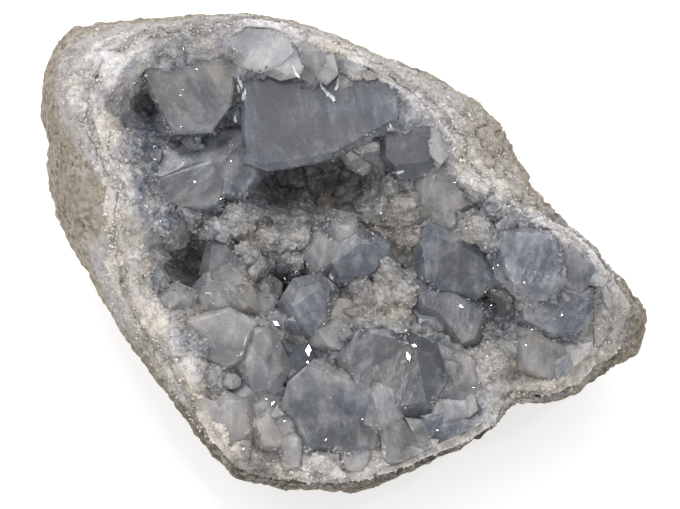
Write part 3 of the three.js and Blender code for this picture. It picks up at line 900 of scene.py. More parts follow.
def lesser_blocks(rng, row):
    """The crystals that have grown side by side with a block: its outline shrunk about one of its own
    corners, turned a little and set a little deeper."""
    outline, z, slope_x, slope_y, flare, chamfer, _, depth, steps = row[:9]
    points = np.array(outline, float)
    middle = points.mean(axis=0)
    made = []
    for _ in range((steps + 1) // 2):
        small = rng.uniform(0.4, 0.65)
        corner = lerp(points[rng.integers(len(points))], middle, rng.uniform(-0.1, 0.3))
        angle = rng.normal(0, 0.25)
        turn = np.array([[math.cos(angle), -math.sin(angle)], [math.sin(angle), math.cos(angle)]])
        shrunk = corner + (points - middle) @ turn.T * small
        lift = rng.uniform(-1.8, 0.5) + np.dot([slope_x, slope_y], corner - middle)
        slopes = (slope_x + rng.normal(0, 0.15), slope_y + rng.normal(0, 0.15))
        width = chamfer * rng.uniform(0.3, 0.7)
        breaks = int(rng.integers(1, 3))
        made.append((shrunk, z + lift, *slopes, flare + 0.05, width, breaks, depth * 0.8))
    return made


def prism_planes(rng, sizes, sides, wobble):
    """The planes of crystals that grow along their own x from 0. Six sides are two broad ones and four
    that meet in an edge at each end of the width, and four are those four alone. Beside each side is
    one that leans in over the tapered part, and then come the slanting tip and the root."""
    length, width, thickness, taper, left, slant = sizes
    n = len(length)
    w, t = width / 2, thickness / 2
    corner = BROAD if sides == 6 else 0.0
    narrow = unit(np.stack([t, (1 - corner) * w], axis=-1))
    quarters = [(1, 1), (1, -1), (-1, 1), (-1, -1)]
    around = [np.stack([0 * t, p * narrow[:, 0], q * narrow[:, 1]], axis=-1) for p, q in quarters]
    reach = [w * narrow[:, 0]] * 4
    if sides == 6:
        around += [np.stack([0 * t, 0 * t, q + 0 * t], axis=-1) for q in (1, -1)]
        reach += [t, t]
    side = np.stack(around, axis=1) + rng.normal(0, wobble, (n, sides, 3))
    far = np.stack(reach, axis=1) * rng.normal(1, wobble, (n, sides))
    lean = far * ((1 - left) / (taper * length))[:, None] * rng.uniform(0.35, 1.65, (n, sides))
    begin = (length * (1 - taper))[:, None] * rng.uniform(0.85, 1.15, (n, sides))
    leaning = side.copy()
    leaning[..., 0] += lean
    tip = np.stack([1 + 0 * t, slant, rng.normal(0, 0.25, n)], axis=-1)[:, None]
    root = np.array([-1.0, 0, 0]) + rng.normal(0, 0.02, (n, 1, 3))
    normals = np.concatenate([side, leaning, tip, root], axis=1)
    offsets = np.concatenate([far, far + lean * begin, length[:, None], np.zeros((n, 1))], axis=1)
    long = np.linalg.norm(normals, axis=-1)
    return normals / long[..., None], offsets / long


def crystal_axes(along, turn):
    """Each crystal's own axes: along it, across its width, and through its thickness. Across lies in the
    face's plane before the turn about the crystal."""
    across = np.cross(along, [0.0, 0, 1])
    steep = np.linalg.norm(across, axis=-1, keepdims=True) < 0.2
    across = np.where(steep, [1.0, 0, 0], across)
    across = unit(across - along * np.sum(across * along, axis=-1, keepdims=True))
    broad = np.cross(along, across)
    cos, sin = np.cos(turn)[:, None], np.sin(turn)[:, None]
    return np.stack([along, across * cos + broad * sin, broad * cos - across * sin], axis=1)


def grow(rng, roots, axes, sizes, sides, wobble):
    """Crystals from their planes, in the face frame: root + x along + y across + z through. Returns the
    corners, each corner's crystal, and the faces."""
    corners, solid, loops, starts = polyhedra(*prism_planes(rng, sizes, sides, wobble))
    placed = roots[solid] + np.einsum("ck,ckj->cj", corners, axes[solid])
    return placed, solid, loops, starts


# ---- pieces and finishes


class Wiring:
    """Adds nodes to one node tree and feeds their sockets with values or with other nodes' outputs."""

    def __init__(self, tree):
        self.tree = tree
        tree.nodes.clear()

    def node(self, kind, inputs=None, **settings):
        """A node of a kind, with its settings made and its sockets fed."""
        made = self.tree.nodes.new(kind)
        for name, value in settings.items():
            setattr(made, name, value)
        for name, value in (inputs or {}).items():
            self.feed(made.inputs[name], value)
        return made

    def feed(self, socket, value):
        """Links another node's output to a socket, or sets the socket's value."""
        if isinstance(value, bpy.types.NodeSocket):
            self.tree.links.new(value, socket)
        else:
            socket.default_value = value

    def mix(self, share, first, second, blend="MIX"):
        """A colour mix of two colours."""
        made = self.node("ShaderNodeMix", data_type="RGBA", blend_type=blend)
        for socket, value in zip((made.inputs[0], made.inputs[6], made.inputs[7]), (share, first, second)):
            self.feed(socket, value)
        return made.outputs[2]

    def math(self, operation, first, second, clamp=False):
        """What an operation makes of two numbers."""
        made = self.node("ShaderNodeMath", operation=operation, use_clamp=clamp)
        self.feed(made.inputs[0], first)
        self.feed(made.inputs[1], second)
        return made.outputs[0]

    def times(self, first, second):
        """The product of two numbers."""
        return self.math("MULTIPLY", first, second)

    def partly(self, mask, most, first, second):
        """A mix of two colours, with the most of the second where the mask is 1."""
        return self.mix(self.times(mask, most), first, second)

    def swung(self, before, mask, swing):
        """A number moved by a mask about its middle: before + swing (mask - 0.5)."""
        return self.math("ADD", before, self.times(self.math("SUBTRACT", mask, 0.5), swing))

    def layer(self, name, output="Fac"):
        """What a piece's own attribute says."""
        return self.node("ShaderNodeAttribute", attribute_name=name).outputs[output]

    def group(self, tree, **inputs):
        """The output of a node group that has these inputs."""
        made = self.node("ShaderNodeGroup", node_tree=tree)
        for name, value in inputs.items():
            self.feed(made.inputs[name], value)
        return made.outputs[0]

    def patches(self, place, scale, detail, low, high):
        """A mask of patches, 0 where their noise is below low and 1 above high."""
        return self.group(mottle_group(), Vector=place, Scale=scale, Detail=detail, Low=low, High=high)


def node_group(name, inputs, output):
    """An empty shader node group with named inputs and one output, its wiring, and both its ends."""
    tree = bpy.data.node_groups.new(name, "ShaderNodeTree")
    for label, default in inputs.items():
        kind = "NodeSocketVector" if isinstance(default, tuple) else "NodeSocketFloat"
        socket = tree.interface.new_socket(label, in_out="INPUT", socket_type=kind)
        socket.default_value = default
    tree.interface.new_socket(output, in_out="OUTPUT", socket_type="NodeSocketFloat")
    wiring = Wiring(tree)
    return tree, wiring, wiring.node("NodeGroupInput").outputs, wiring.node("NodeGroupOutput").inputs


@functools.lru_cache(maxsize=None)
def mottle_group():
    """Patches: a noise turned into a mask, 0 below Low and 1 above High."""
    inputs = {"Vector": (0.0, 0.0, 0.0), "Scale": 100.0, "Detail": 3.0, "Low": 0.4, "High": 0.6}
    tree, wiring, given, out = node_group("Mottle", inputs, "Mask")
    spots = wiring.node(
        "ShaderNodeTexNoise",
        {"Vector": given["Vector"], "Scale": given["Scale"], "Detail": given["Detail"], "Roughness": 0.6},
    )
    ramp = wiring.node(
        "ShaderNodeMapRange",
        {"Value": spots.outputs["Fac"], "From Min": given["Low"], "From Max": given["High"]},
        interpolation_type="SMOOTHSTEP",
    )
    wiring.feed(out["Mask"], ramp.outputs["Result"])
    return tree


@functools.lru_cache(maxsize=None)
def grain_group():
    """The height of sugary or sandy grain: round cells with finer noise over them."""
    inputs = {"Vector": (0.0, 0.0, 0.0), "Cells": 1200.0, "Fine": 3000.0, "Roundness": 0.6}
    tree, wiring, given, out = node_group("Grain", inputs, "Height")
    cells = wiring.node(
        "ShaderNodeTexVoronoi", {"Vector": given["Vector"], "Scale": given["Cells"]}, feature="F1"
    )
    fine = wiring.node(
        "ShaderNodeTexNoise", {"Vector": given["Vector"], "Scale": given["Fine"], "Detail": 3.0}
    )
    height = wiring.times(wiring.math("SUBTRACT", 1.0, cells.outputs["Distance"]), given["Roundness"])
    wiring.feed(out["Height"], wiring.math("ADD", height, fine.outputs["Fac"]))
    return tree


def colour(value):
    """A colour property as four numbers."""
    return (*value, 1.0)


def new_material(name):
    """A material, its wiring, and its object coordinates."""
    made = bpy.data.materials.new(name)
    made.use_nodes = True
    wiring = Wiring(made.node_tree)
    return made, wiring, wiring.node("ShaderNodeTexCoord").outputs["Object"]


def finish_material(wiring, shader, volume=None):
    """Joins the shader, and the volume if there is one, to the material's output."""
    out = wiring.node("ShaderNodeOutputMaterial", {"Surface": shader.outputs["BSDF"]})
    if volume:
        wiring.feed(out.inputs["Volume"], volume.outputs["Volume"])


def bump(wiring, height, strength, distance):
    """A normal from a height."""
    inputs = {"Height": height, "Strength": strength, "Distance": distance}
    return wiring.node("ShaderNodeBump", inputs).outputs["Normal"]


def limestone(settings):
    """The rind and rim: tan stone with specks, clusters of small holes darkened with brown as painted shade,
    a pale crumbly band by the hollow, and brown that grows towards the bottom."""
    made, wiring, place = new_material("limestone")
    tones = (settings.tan, settings.light_tan, settings.pale, settings.lavender)
    tan, light_tan, pale, lavender = (colour(tone) for tone in tones)
    speck_tone, grey, brown_tone = (colour(tone) for tone in (settings.speck, settings.grey, settings.brown))
    broad = wiring.patches(place, 95.0, 4.0, 0.38, 0.64)
    speck = wiring.patches(place, 800.0, 8.0, 0.38, 0.72)
    crumb = wiring.patches(place, 1300.0, 3.0, 0.4, 0.7)
    blotch = wiring.patches(place, 330.0, 5.0, 0.42, 0.62)
    clusters = wiring.math("ADD", 0.35, wiring.times(wiring.patches(place, 60.0, 3.0, 0.33, 0.53), 0.65))
    holes = wiring.times(wiring.patches(place, 520.0, 4.0, 0.5, 0.64), clusters)
    rind = wiring.mix(broad, tan, light_tan)
    rind = wiring.partly(speck, 0.7, rind, speck_tone)
    # Painted shade: the small holes are darkened towards the brown tone.
    rind = wiring.partly(holes, 0.85, rind, brown_tone)
    band = wiring.partly(broad, 0.4, pale, lavender)
    band = wiring.partly(blotch, 0.3, band, light_tan)
    band = wiring.partly(crumb, 0.46, band, grey)
    base = wiring.mix(wiring.layer("band"), rind, band)
    # The front is browner and darker towards the bottom and by the right tip, as its layer says.
    brown = wiring.times(wiring.layer("brown"), wiring.math("ADD", 0.6, speck))
    base = wiring.mix(wiring.math("MULTIPLY", brown, 0.8, clamp=True), base, brown_tone)
    grain = wiring.group(grain_group(), Vector=place, Cells=1500.0, Fine=3600.0, Roundness=0.7)
    relief = wiring.math("SUBTRACT", wiring.math("ADD", grain, speck), wiring.times(holes, 0.8))
    shader = wiring.node(
        "ShaderNodeBsdfPrincipled",
        {
            "Base Color": base,
            "Roughness": 0.88,
            "Specular IOR Level": 0.3,
            "Normal": bump(wiring, relief, 0.75, 0.0006),
        },
    )
    finish_material(wiring, shader)
    return made


DARKEST = 0.7  # the darkest tone's share of the deep blue
DEPTH_SHADE_TONE = (0.02, 0.022, 0.026, 1)  # painted shade: the colour that crystal nears in the depth of the hollow


def crystal_tones(wiring, settings, amount):
    """The crystals' tones: deep blue at 0, grey-blue, lavender, and white at 1."""
    ramp = wiring.node("ShaderNodeValToRGB", {"Fac": amount})
    stops = ramp.color_ramp.elements
    stops[0].color = colour(tuple(DARKEST * part for part in settings.deep_blue))
    stops[1].color = colour(settings.white)
    stops.new(0.15).color = colour(settings.deep_blue)
    stops.new(0.4).color = colour(settings.grey_blue)
    stops.new(0.68).color = colour(settings.lavender)
    return ramp.outputs["Color"]


def crust_colour(wiring, settings, change):
    """The crust's colour from its three shares: its tone, changed by a pattern, then warmed, and darkened
    with depth as painted shade."""
    tone = wiring.math("ADD", wiring.layer("pale"), wiring.math("ADD", change, 0.06), clamp=True)
    base = crystal_tones(wiring, settings, tone)
    warm = wiring.mix(tone, colour(settings.dark_warm), colour(settings.warm))
    place = wiring.node("ShaderNodeTexCoord").outputs["Object"]
    drift = wiring.patches(place, 75.0, 4.0, 0.3, 0.7)
    share = wiring.math("ADD", wiring.layer("warm"), wiring.times(drift, 0.6), clamp=True)
    base = wiring.mix(wiring.math("SUBTRACT", share, 0.2, clamp=True), base, warm)
    # Painted shade: the deeper the crust lies in the hollow, the nearer it comes to a dark tone.
    return wiring.partly(wiring.layer("deep"), settings.depth, base, DEPTH_SHADE_TONE)


def druse_material(settings, name, roughness, relief, soft=0.0):
    """Sugary fine crystals. Light spreads inside where soft is 1."""
    made, wiring, place = new_material(name)
    change = wiring.swung(0.0, wiring.patches(place, 420.0, 3.0, 0.38, 0.62), 0.25)
    change = wiring.swung(change, wiring.patches(place, 1100.0, 3.0, 0.35, 0.65), 0.24)
    grain = wiring.group(grain_group(), Vector=place, Cells=1500.0, Fine=4200.0, Roundness=0.8)
    shader = wiring.node(
        "ShaderNodeBsdfPrincipled",
        {
            "Base Color": crust_colour(wiring, settings, change),
            "Roughness": roughness,
            "IOR": settings.refraction,
            "Subsurface Weight": soft,
            "Subsurface Scale": 0.002,
            "Subsurface Radius": (0.9, 0.95, 1.0),
            "Normal": bump(wiring, grain, relief, 0.0003),
        },
    )
    finish_material(wiring, shader)
    return made


def celestite(settings, name, clear, relief=0.3, frosted=0.28):
    """Blue-grey crystal: see-through with clouds, milky veils, a slow drift of tone and fine flecks,
    growth lines and frost on its faces, and absorption."""
    made, wiring, place = new_material(name)
    own = wiring.layer("own", "Vector")
    veil_place = wiring.node("ShaderNodeMapping", {"Vector": own, "Scale": (0.07, 0.45, 0.45)})
    veils = wiring.patches(veil_place.outputs["Vector"], 1.0, 5.0, 0.35, 0.85)
    change = wiring.swung(0.0, wiring.patches(own, 0.11, 3.0, 0.25, 0.75), 0.42)
    change = wiring.math("ADD", change, wiring.times(veils, 0.36))
    change = wiring.swung(change, wiring.patches(own, 0.045, 2.0, 0.3, 0.7), 0.26)
    change = wiring.swung(change, wiring.patches(place, 900.0, 4.0, 0.3, 0.7), 0.13)
    line_place = wiring.node("ShaderNodeMapping", {"Vector": own, "Scale": (0.3, 0.9, 0.9)})
    lines = wiring.node(
        "ShaderNodeTexNoise", {"Vector": line_place.outputs["Vector"], "Scale": 1.0, "Detail": 4.0}
    )
    etched = wiring.group(grain_group(), Vector=place, Cells=700.0, Fine=2500.0, Roundness=0.25)
    height = wiring.math("ADD", lines.outputs["Fac"], wiring.times(etched, 0.4))
    frost = wiring.patches(own, 0.45, 4.0, 0.35, 0.75)
    roughness = wiring.math("ADD", settings.gloss, wiring.times(frost, frosted))
    shader = wiring.node(
        "ShaderNodeBsdfPrincipled",
        {
            "Base Color": crust_colour(wiring, settings, change),
            "Roughness": roughness,
            "IOR": settings.refraction,
            "Transmission Weight": clear,
            "Subsurface Weight": 1.0,
            "Subsurface Scale": 0.01,
            "Subsurface Radius": (0.8, 0.9, 1.0),
            "Normal": bump(wiring, height, relief, 0.0004),
        },
    )
    volume = wiring.node(
        "ShaderNodeVolumeAbsorption",
        {"Color": colour(settings.absorbed), "Density": settings.density},
    )
    finish_material(wiring, shader, volume)
    return made


def cleavage(settings):
    """The cleavage crack inside a crystal, with the silver that it reflects painted on as pale colour: a
    painted reflection.
    """
    made, wiring, place = new_material("cleavage")
    streak = wiring.patches(place, 900.0, 3.0, 0.35, 0.65)
    # Painted reflection: the pale base stands in for the light that an air gap in the crystal would reflect.
    base = wiring.mix(streak, (0.85, 0.87, 0.9, 1), (0.5, 0.54, 0.6, 1))
    shader = wiring.node(
        "ShaderNodeBsdfPrincipled",
        {"Base Color": base, "Roughness": 0.18, "IOR": settings.refraction, "Coat Weight": 1.0},
    )
    finish_material(wiring, shader)
    return made


def joined_lists(first, second):
    """Two lists of solids in one: corners, their solids, and the faces."""
    corners, solid, loops, starts = first
    return (
        np.concatenate([corners, second[0]]),
        np.concatenate([solid, second[1] + solid.max() + 1]),
        np.concatenate([loops, second[2] + len(corners)]),
        np.concatenate([starts, second[3] + len(loops)]),
    )


def fused(points, solids, loops, starts):
    """Overlapping solids joined in one, with nothing left inside. Returns points, faces, and the solid
    that each face comes from."""
    count = solids.max() + 1
    face_solid = solids[loops[starts]]
    faces = np.split(loops, starts[1:])
    group = bpy.data.collections.new("solids")
    for number in range(count):
        corners = np.nonzero(solids == number)[0]
        chosen = np.nonzero(face_solid == number)[0]
        own_faces = [np.searchsorted(corners, faces[k]).tolist() for k in chosen]
        mesh = bpy.data.meshes.new("solid")
        mesh.from_pydata(points[corners].tolist(), [], own_faces)
        mark = mesh.attributes.new("solid", "INT", "FACE")
        mark.data.foreach_set("value", np.full(len(own_faces), number, np.int32))
        item = bpy.data.objects.new("solid", mesh)
        (group if number else bpy.context.scene.collection).objects.link(item)
        if number == 0:
            first = item
    join = first.modifiers.new("join", "BOOLEAN")
    join.operation, join.operand_type, join.solver = "UNION", "COLLECTION", "MANIFOLD"
    join.collection = group
    joined = bpy.data.meshes.new_from_object(first.evaluated_get(bpy.context.evaluated_depsgraph_get()))
    made = np.empty(len(joined.vertices) * 3, np.float32)
    joined.vertices.foreach_get("co", made)
    made_loops, made_starts, made_solids = (
        np.empty(n, np.int32) for n in (len(joined.loops), len(joined.polygons), len(joined.polygons))
    )
    joined.loops.foreach_get("vertex_index", made_loops)
    joined.polygons.foreach_get("loop_start", made_starts)
    joined.attributes["solid"].data.foreach_get("value", made_solids)
    for item in [first, *group.objects]:
        bpy.data.meshes.remove(item.data)
    bpy.data.collections.remove(group)
    bpy.data.meshes.remove(joined)
    return made.reshape(-1, 3).astype(float), made_loops, made_starts, made_solids


def put_layer(mesh, name, values):
    """Stores one number or one vector for each vertex, face or face corner."""
    vector = np.ndim(values) == 2
    counts = {len(mesh.vertices): "POINT", len(mesh.polygons): "FACE", len(mesh.loops): "CORNER"}
    layer = mesh.attributes.new(name, "FLOAT_VECTOR" if vector else "FLOAT", counts[len(values)])
    layer.data.foreach_set("vector" if vector else "value", np.ravel(values).astype(np.float32))


def make_piece(name, points, loops, starts, material, slot, layers, smooth=False, replaces=()):
    """A mesh piece from face-frame points and faces, kept inside the model's own box."""
    low, high = np.array(CAD_BOX)
    mesh = bpy.data.meshes.new(name)
    mesh.vertices.add(len(points))
    mesh.vertices.foreach_set("co", np.clip(to_row(points), low, high).astype(np.float32).ravel())
    mesh.loops.add(len(loops))
    mesh.loops.foreach_set("vertex_index", loops.astype(np.int32))
    mesh.polygons.add(len(starts))
    mesh.polygons.foreach_set("loop_start", starts.astype(np.int32))
    mesh.update(calc_edges=True)
    for layer, values in layers.items():
        put_layer(mesh, layer, values)
    mesh.validate()
    (mesh.shade_smooth if smooth else mesh.shade_flat)()
    mesh.materials.append(material)
    piece = bpy.data.objects.new(name, mesh)
    bpy.context.scene.collection.objects.link(piece)
    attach(piece, BODY)
    if replaces:
        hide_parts(*replaces)


def tint_layers(points, rng=None, owners=None, spread=0.14):
    """The colour shares as layers: for crystals, each takes its own step off them."""
    pale, warm, deep = tints(points)
    if rng is not None:
        count = owners.max() + 1
        pale = np.clip(pale + rng.normal(0, spread, count)[owners], 0, 1)
        warm = np.clip(warm + rng.normal(0, 0.6 * spread, count)[owners], 0, 1)
    return {"pale": pale, "warm": warm, "deep": deep}


def bed_places(rng, count, weight):
    """Random places on the bed, as many for each square millimetre as weight says: points, normals."""
    rings, normals, _ = rough_bed(BED_COLUMNS, BED_ROWS)
    sideways = np.linalg.norm(np.roll(rings, -1, axis=1) - rings, axis=-1)
    inwards = np.linalg.norm(np.gradient(rings, axis=0), axis=-1)
    chance = sideways * inwards * weight(rings)
    chosen = rng.choice(chance.size, count, p=(chance / chance.sum()).ravel())
    points = rings.reshape(-1, 3)[chosen] + rng.normal(0, 0.15, (count, 3))
    return points, normals.reshape(-1, 3)[chosen]


def middle_share(points):
    """Where middle-sized crystals grow: fewer on the sugary lumps of the hollow's middle."""
    x, y = points[..., 0], points[..., 1]
    lumpy = np.exp(-(((x + 12) / 24) ** 4) - ((y - 2) / 15) ** 4)
    lumpy = lumpy + np.exp(-(((x - 12) / 9) ** 4) - ((y + 10) / 12) ** 4)
    edge = eased(0.76, 0.9, way_out(points))
    crowded = np.maximum(0.95 * sugary(points), hollow_share(points))
    return np.clip(1 - crowded - 0.6 * lumpy, 0.01, 1) * (1 - 0.95 * edge)


def scatter(rng, points, normals, width, sides, squat, sunk, lean):
    """Crystals of the given widths that stand at points and lean off the normals."""
    count = len(points)
    along = unit(normals + rng.normal(0, lean, (count, 3)))
    length = width * rng.uniform(*squat, count)
    sizes = (
        length,
        width,
        width * rng.uniform(0.6, 1, count),
        rng.uniform(0.3, 0.6, count),
        rng.uniform(0.25, 0.65, count),
        rng.normal(0, 0.3, count),
    )
    axes = crystal_axes(along, rng.uniform(0, math.pi, count))
    roots = points - along * (length * sunk)[:, None]
    return grow(rng, roots, axes, sizes, sides, 0.1)


WELL_ABOVE = 60.0  # a height over the whole face


def crust_top(places):
    """The crust's top at x, y places, where a line down the face's own z first meets the large crystals
    or the bed: its z, its normal, and 1 where it is a large crystal."""
    trees = []
    for name in ("large_crystals", "druse_bed"):
        mesh = bpy.data.objects[name].data
        corners = np.empty(len(mesh.vertices) * 3, np.float32)
        mesh.vertices.foreach_get("co", corners)
        faces = [polygon.vertices for polygon in mesh.polygons]
        trees.append(BVHTree.FromPolygons(corners.reshape(-1, 3).tolist(), faces))
    down = Vector(-FACE_AXES[2])
    found = []
    for x, y in places:
        start = Vector(to_row(np.array([x, y, WELL_ABOVE])))
        crystal, bed = (tree.ray_cast(start, down) for tree in trees)
        first = crystal[0] is not None and (bed[0] is None or crystal[3] < bed[3])
        hit = crystal if first else bed
        if hit[0] is None:
            found.append([math.nan] * 5)
        else:
            found.append([WELL_ABOVE - hit[3] / MM, *(FACE_AXES @ np.array(hit[1])), first])
    found = np.array(found)
    return found[:, 0], found[:, 1:4], found[:, 4]


# ---- settings


def tone_property(name, description, default):
    """A colour that a user can change."""
    return FloatVectorProperty(
        name=name, description=description, subtype="COLOR", size=3, min=0, max=1, default=default
    )


class GeodeStoneSettings(bpy.types.PropertyGroup):
    roughness: FloatProperty(
        name="Roughness of the rind",
        description="How high the rind's coarse grain stands, in millimetres",
        default=0.75,
        min=0,
        max=3,
    )
    tan: tone_property("Tan", "Rind", (0.45, 0.39, 0.31))
    light_tan: tone_property("Light tan", "Paler patches of the rind", (0.58, 0.52, 0.44))
    speck: tone_property("Specks", "Dark specks of the rind", (0.19, 0.165, 0.125))
    pale: tone_property("Pale band", "Crumbly band by the hollow", (0.68, 0.65, 0.635))
    lavender: tone_property("Lavender", "Lavender patches of the band", (0.51, 0.495, 0.545))
    grey: tone_property("Grey", "Grey crumbs of the band", (0.36, 0.34, 0.33))
    # The brown of the lower edge, which also darkens the small holes.
    brown: tone_property("Stain", "Brown earth along the lower edge", (0.17, 0.145, 0.11))


class GeodeCrystalSettings(bpy.types.PropertyGroup):
    deep_blue: tone_property("Deep blue", "Darkest crystal", (0.135, 0.155, 0.20))
    grey_blue: tone_property("Grey blue", "Most of the crystal", (0.32, 0.335, 0.37))
    lavender: tone_property("Lavender", "Milky crystal", (0.50, 0.50, 0.54))
    white: tone_property("White", "Palest crystal and crust", (0.80, 0.785, 0.795))
    warm: tone_property("Warm", "Pale crust with limestone dust", (0.66, 0.59, 0.50))
    dark_warm: tone_property("Dark warm", "Dark crust with limestone dust", (0.15, 0.14, 0.12))
    absorbed: tone_property("Tint", "Colour that light keeps on its way through", (0.62, 0.72, 0.88))
    density: FloatProperty(
        name="Density",
        description="How strongly crystal absorbs light, per metre",
        default=45,
        min=0,
        max=500,
    )
    clear: FloatProperty(
        name="Clearness",
        description="How much of the light goes through a large crystal",
        default=0.35,
        min=0,
        max=1,
    )
    refraction: FloatProperty(name="IOR", description="Refraction of celestite", default=1.62, min=1, max=2.5)
    gloss: FloatProperty(
        name="Face roughness", description="Roughness of the smoothest faces", default=0.07, min=0, max=1
    )
    depth: FloatProperty(
        name="Depth shade",
        description="How dark the deepest crystals are",
        default=0.35,
        min=0,
        max=1,
        subtype="FACTOR",
    )


class GeodeDruseSettings(bpy.types.PropertyGroup):
    middle_count: IntProperty(
        name="Middle crystals", description="How many grow on the bed", default=120, min=1
    )
    fine_count: IntProperty(
        name="Fine crystals", description="How many line the bed", default=14000, min=1
    )
    sugar_count: IntProperty(
        name="Sugar", description="How many places are tried for it", default=27000, min=1
    )
    rim_count: IntProperty(
        name="Rim crystals", description="How many crumbs lie on the rim", default=1800, min=1
    )
    spark_count: IntProperty(
        name="Sparks", description="How many places are tried for small facets", default=140, min=1
    )
    middle_width: FloatProperty(
        name="Middle width",
        description="Widest of the middle crystals",
        default=0.0055,
        min=0.001,
        unit="LENGTH",
    )
    fine_width: FloatProperty(
        name="Fine width",
        description="Widest of the fine crystals",
        default=0.0014,
        min=0.0002,
        unit="LENGTH",
    )


class GeodeStageSettings(bpy.types.PropertyGroup):
    floor: tone_property("Floor", "Colour of the floor", (0.6, 0.6, 0.6))
    glow: FloatProperty(
        name="Glow", description="Light that the floor gives off itself", default=0.53, min=0
    )
    surround: FloatProperty(
        name="Surround", description="Brightness of the surround", default=0.76, min=0
    )
    softbox: FloatProperty(
        name="Softbox", description="Power of the large soft light", default=12, min=0, unit="POWER"
    )
    lamp: FloatProperty(
        name="Lamp", description="Power of each small lamp", default=1.2, min=0, unit="POWER"
    )
    distance: FloatProperty(
        name="Distance", description="From the camera to the face", default=1.5, min=0.3, unit="LENGTH"
    )
    width: FloatProperty(
        name="View width",
        description="What the view takes in at the face",
        default=0.17,
        min=0.02,
        unit="LENGTH",
    )


# ---- operators


# How fine the grids of the stone and of the bed are.
STONE_COLUMNS, BACK_ROWS, RIM_ROWS, WALL_ROWS = 580, 70, 84, 14
BED_COLUMNS, BED_ROWS, BED_RIM_ROWS = 560, 172, 26

# The bed's underside: its rings' degrees down the stone's wall, and how far below the wall it lies.
UNDER_DEGREES = np.array([80.0, 60, 40, 20, 4])
UNDER_SHIFT = np.array([0, 0, -0.5])


def rind_relief(rings, rim_share, start, roughness):
    """How far the rind stands out, and how much of its pale band a place is. Noise of three sizes and pits
    make the rind. Blocky heads of two sizes make the band, which noise breaks up where it starts. Domes
    of two sizes make the rugged places' knobs, and where noise passes through 0 they crack."""
    coarse = noise(rings, 6.0, 1) + 0.7 * noise(rings, 2.6, 2) + 0.5 * noise(rings, 1.1, 3)
    pits = np.minimum(0, noise(rings, 1.7, 4) + 0.25)
    height = roughness * (coarse - 0.9 + 1.6 * pits)
    crystals = 2.2 * heads(rings, 4.2)[0] + 1.2 * heads(rings, 2.1)[0] - 1.4
    broken = 0.14 * noise(rings, 5.0, 6) + 0.08 * noise(rings, 1.8, 7)
    band = eased(start - 0.22, start + 0.12, rim_share + broken) * (rim_share >= 0)
    height = lerp(height, 0.35 * height + crystals, band)
    rugged = nearness(rings, RUGGED)
    cracks = 1 - eased(0.02, 0.16, np.abs(noise(rings, 7.0, 9) + 0.4 * noise(rings, 2.5, 10)))
    knobs = 1.1 * domes(rings, 3.4) + 0.8 * domes(rings, 1.7) - 1.0
    height = height + rugged * (0.6 * knobs - 0.9 * cracks)
    return height, band * (1 - rugged * (0.5 + 0.4 * cracks))


def brown_towards_bottom(rings, rim_share):
    """Where the front is browner and darker: from below up to a share of the way over the rim that grows
    towards the bottom, and half as much by the right tip."""
    x, y = rings[..., 0], rings[..., 1]
    reach = lerp(0.55, 1.3, eased(-40, -56, y - 0.15 * x))
    low = 1 - eased(reach - 0.2, reach + 0.2, rim_share + 0.2 * noise(rings, 4.0, 8))
    low = low * eased(-12, -42, y)
    right = eased(58, 70, x) * (1 - eased(0.6, 1.0, rim_share)) * 0.5
    return np.clip(low + right, 0, 1)


class GEODE_OT_stone(bpy.types.Operator):
    """Makes the limestone nodule"""

    bl_idname = "geode.stone"
    bl_label = "Stone"

    def execute(self, context):
        settings = context.scene.geode_stone
        rings = stone_rings(STONE_COLUMNS, BACK_ROWS, RIM_ROWS, WALL_ROWS)
        rim_share = (np.arange(len(rings))[:, None] - BACK_ROWS) / RIM_ROWS
        start = band_start(np.arange(STONE_COLUMNS) / STONE_COLUMNS)
        height, band = rind_relief(rings, rim_share, start, settings.roughness)
        shown = 1 - eased(1.0, 1.15, rim_share)
        begin = np.clip(start, *BED_START)
        sunk = BED_SINK * eased(lerp(begin, 1, 0.35), lerp(begin, 1, 0.85), rim_share)
        rings = rings + grid_normals(rings) * (shown * height - sunk)[..., None]
        brown = brown_towards_bottom(rings, rim_share)
        poles = np.stack([BACK, FLOOR])
        points = np.concatenate([rings.reshape(-1, 3), poles])
        layers = {
            "band": np.append(band, [0, 1]),
            "brown": np.append(brown, [0, 0]),
        }
        make_piece(
            "rind",
            points,
            *grid_faces(*rings.shape[:2]),
            limestone(settings),
            "stone",
            layers,
            smooth=True,
            replaces=["stone"],
        )
        return {"FINISHED"}


class GEODE_OT_bed(bpy.types.Operator):
    """Makes the bed of fine crystal that lines the hollow"""

    bl_idname = "geode.bed"
    bl_label = "Crystal bed"

    def execute(self, context):
        settings = context.scene.geode_crystals
        top, _, own = rough_bed(BED_COLUMNS, BED_ROWS)
        t = np.arange(BED_COLUMNS) / BED_COLUMNS
        under = between(crest(t), FLOOR, *quarter(UNDER_DEGREES, WALL_FULLNESS)) + UNDER_SHIFT
        rings = np.concatenate([under, top])
        poles = np.stack([FLOOR + UNDER_SHIFT, top[-1].mean(axis=0)])
        points = np.concatenate([rings.reshape(-1, 3), poles])
        layers = tint_layers(points)
        layers["pale"][under.size // 3 : -2] += 0.34 * (own.ravel() - 0.5)
        make_piece(
            "druse_bed",
            points,
            *grid_faces(*rings.shape[:2]),
            druse_material(settings, "druse_bed", 0.3, 0.4, 1.0),
            "celestite",
            layers,
            smooth=True,
            replaces=["crystal_crust"],
        )
        return {"FINISHED"}


def grown_blocks(rng, rows):
    """The large crystals of some rows with their lesser ones, and the paleness and warmth of each."""
    planes, shares = [], []
    for row in rows:
        family = [row[:8], *lesser_blocks(rng, row)]
        planes += [block_planes(rng, *one) for one in family]
        shares += [row[9:11]] * len(family)
    planes = np.array(planes)
    return polyhedra(planes[..., :3], planes[..., 3]), shares


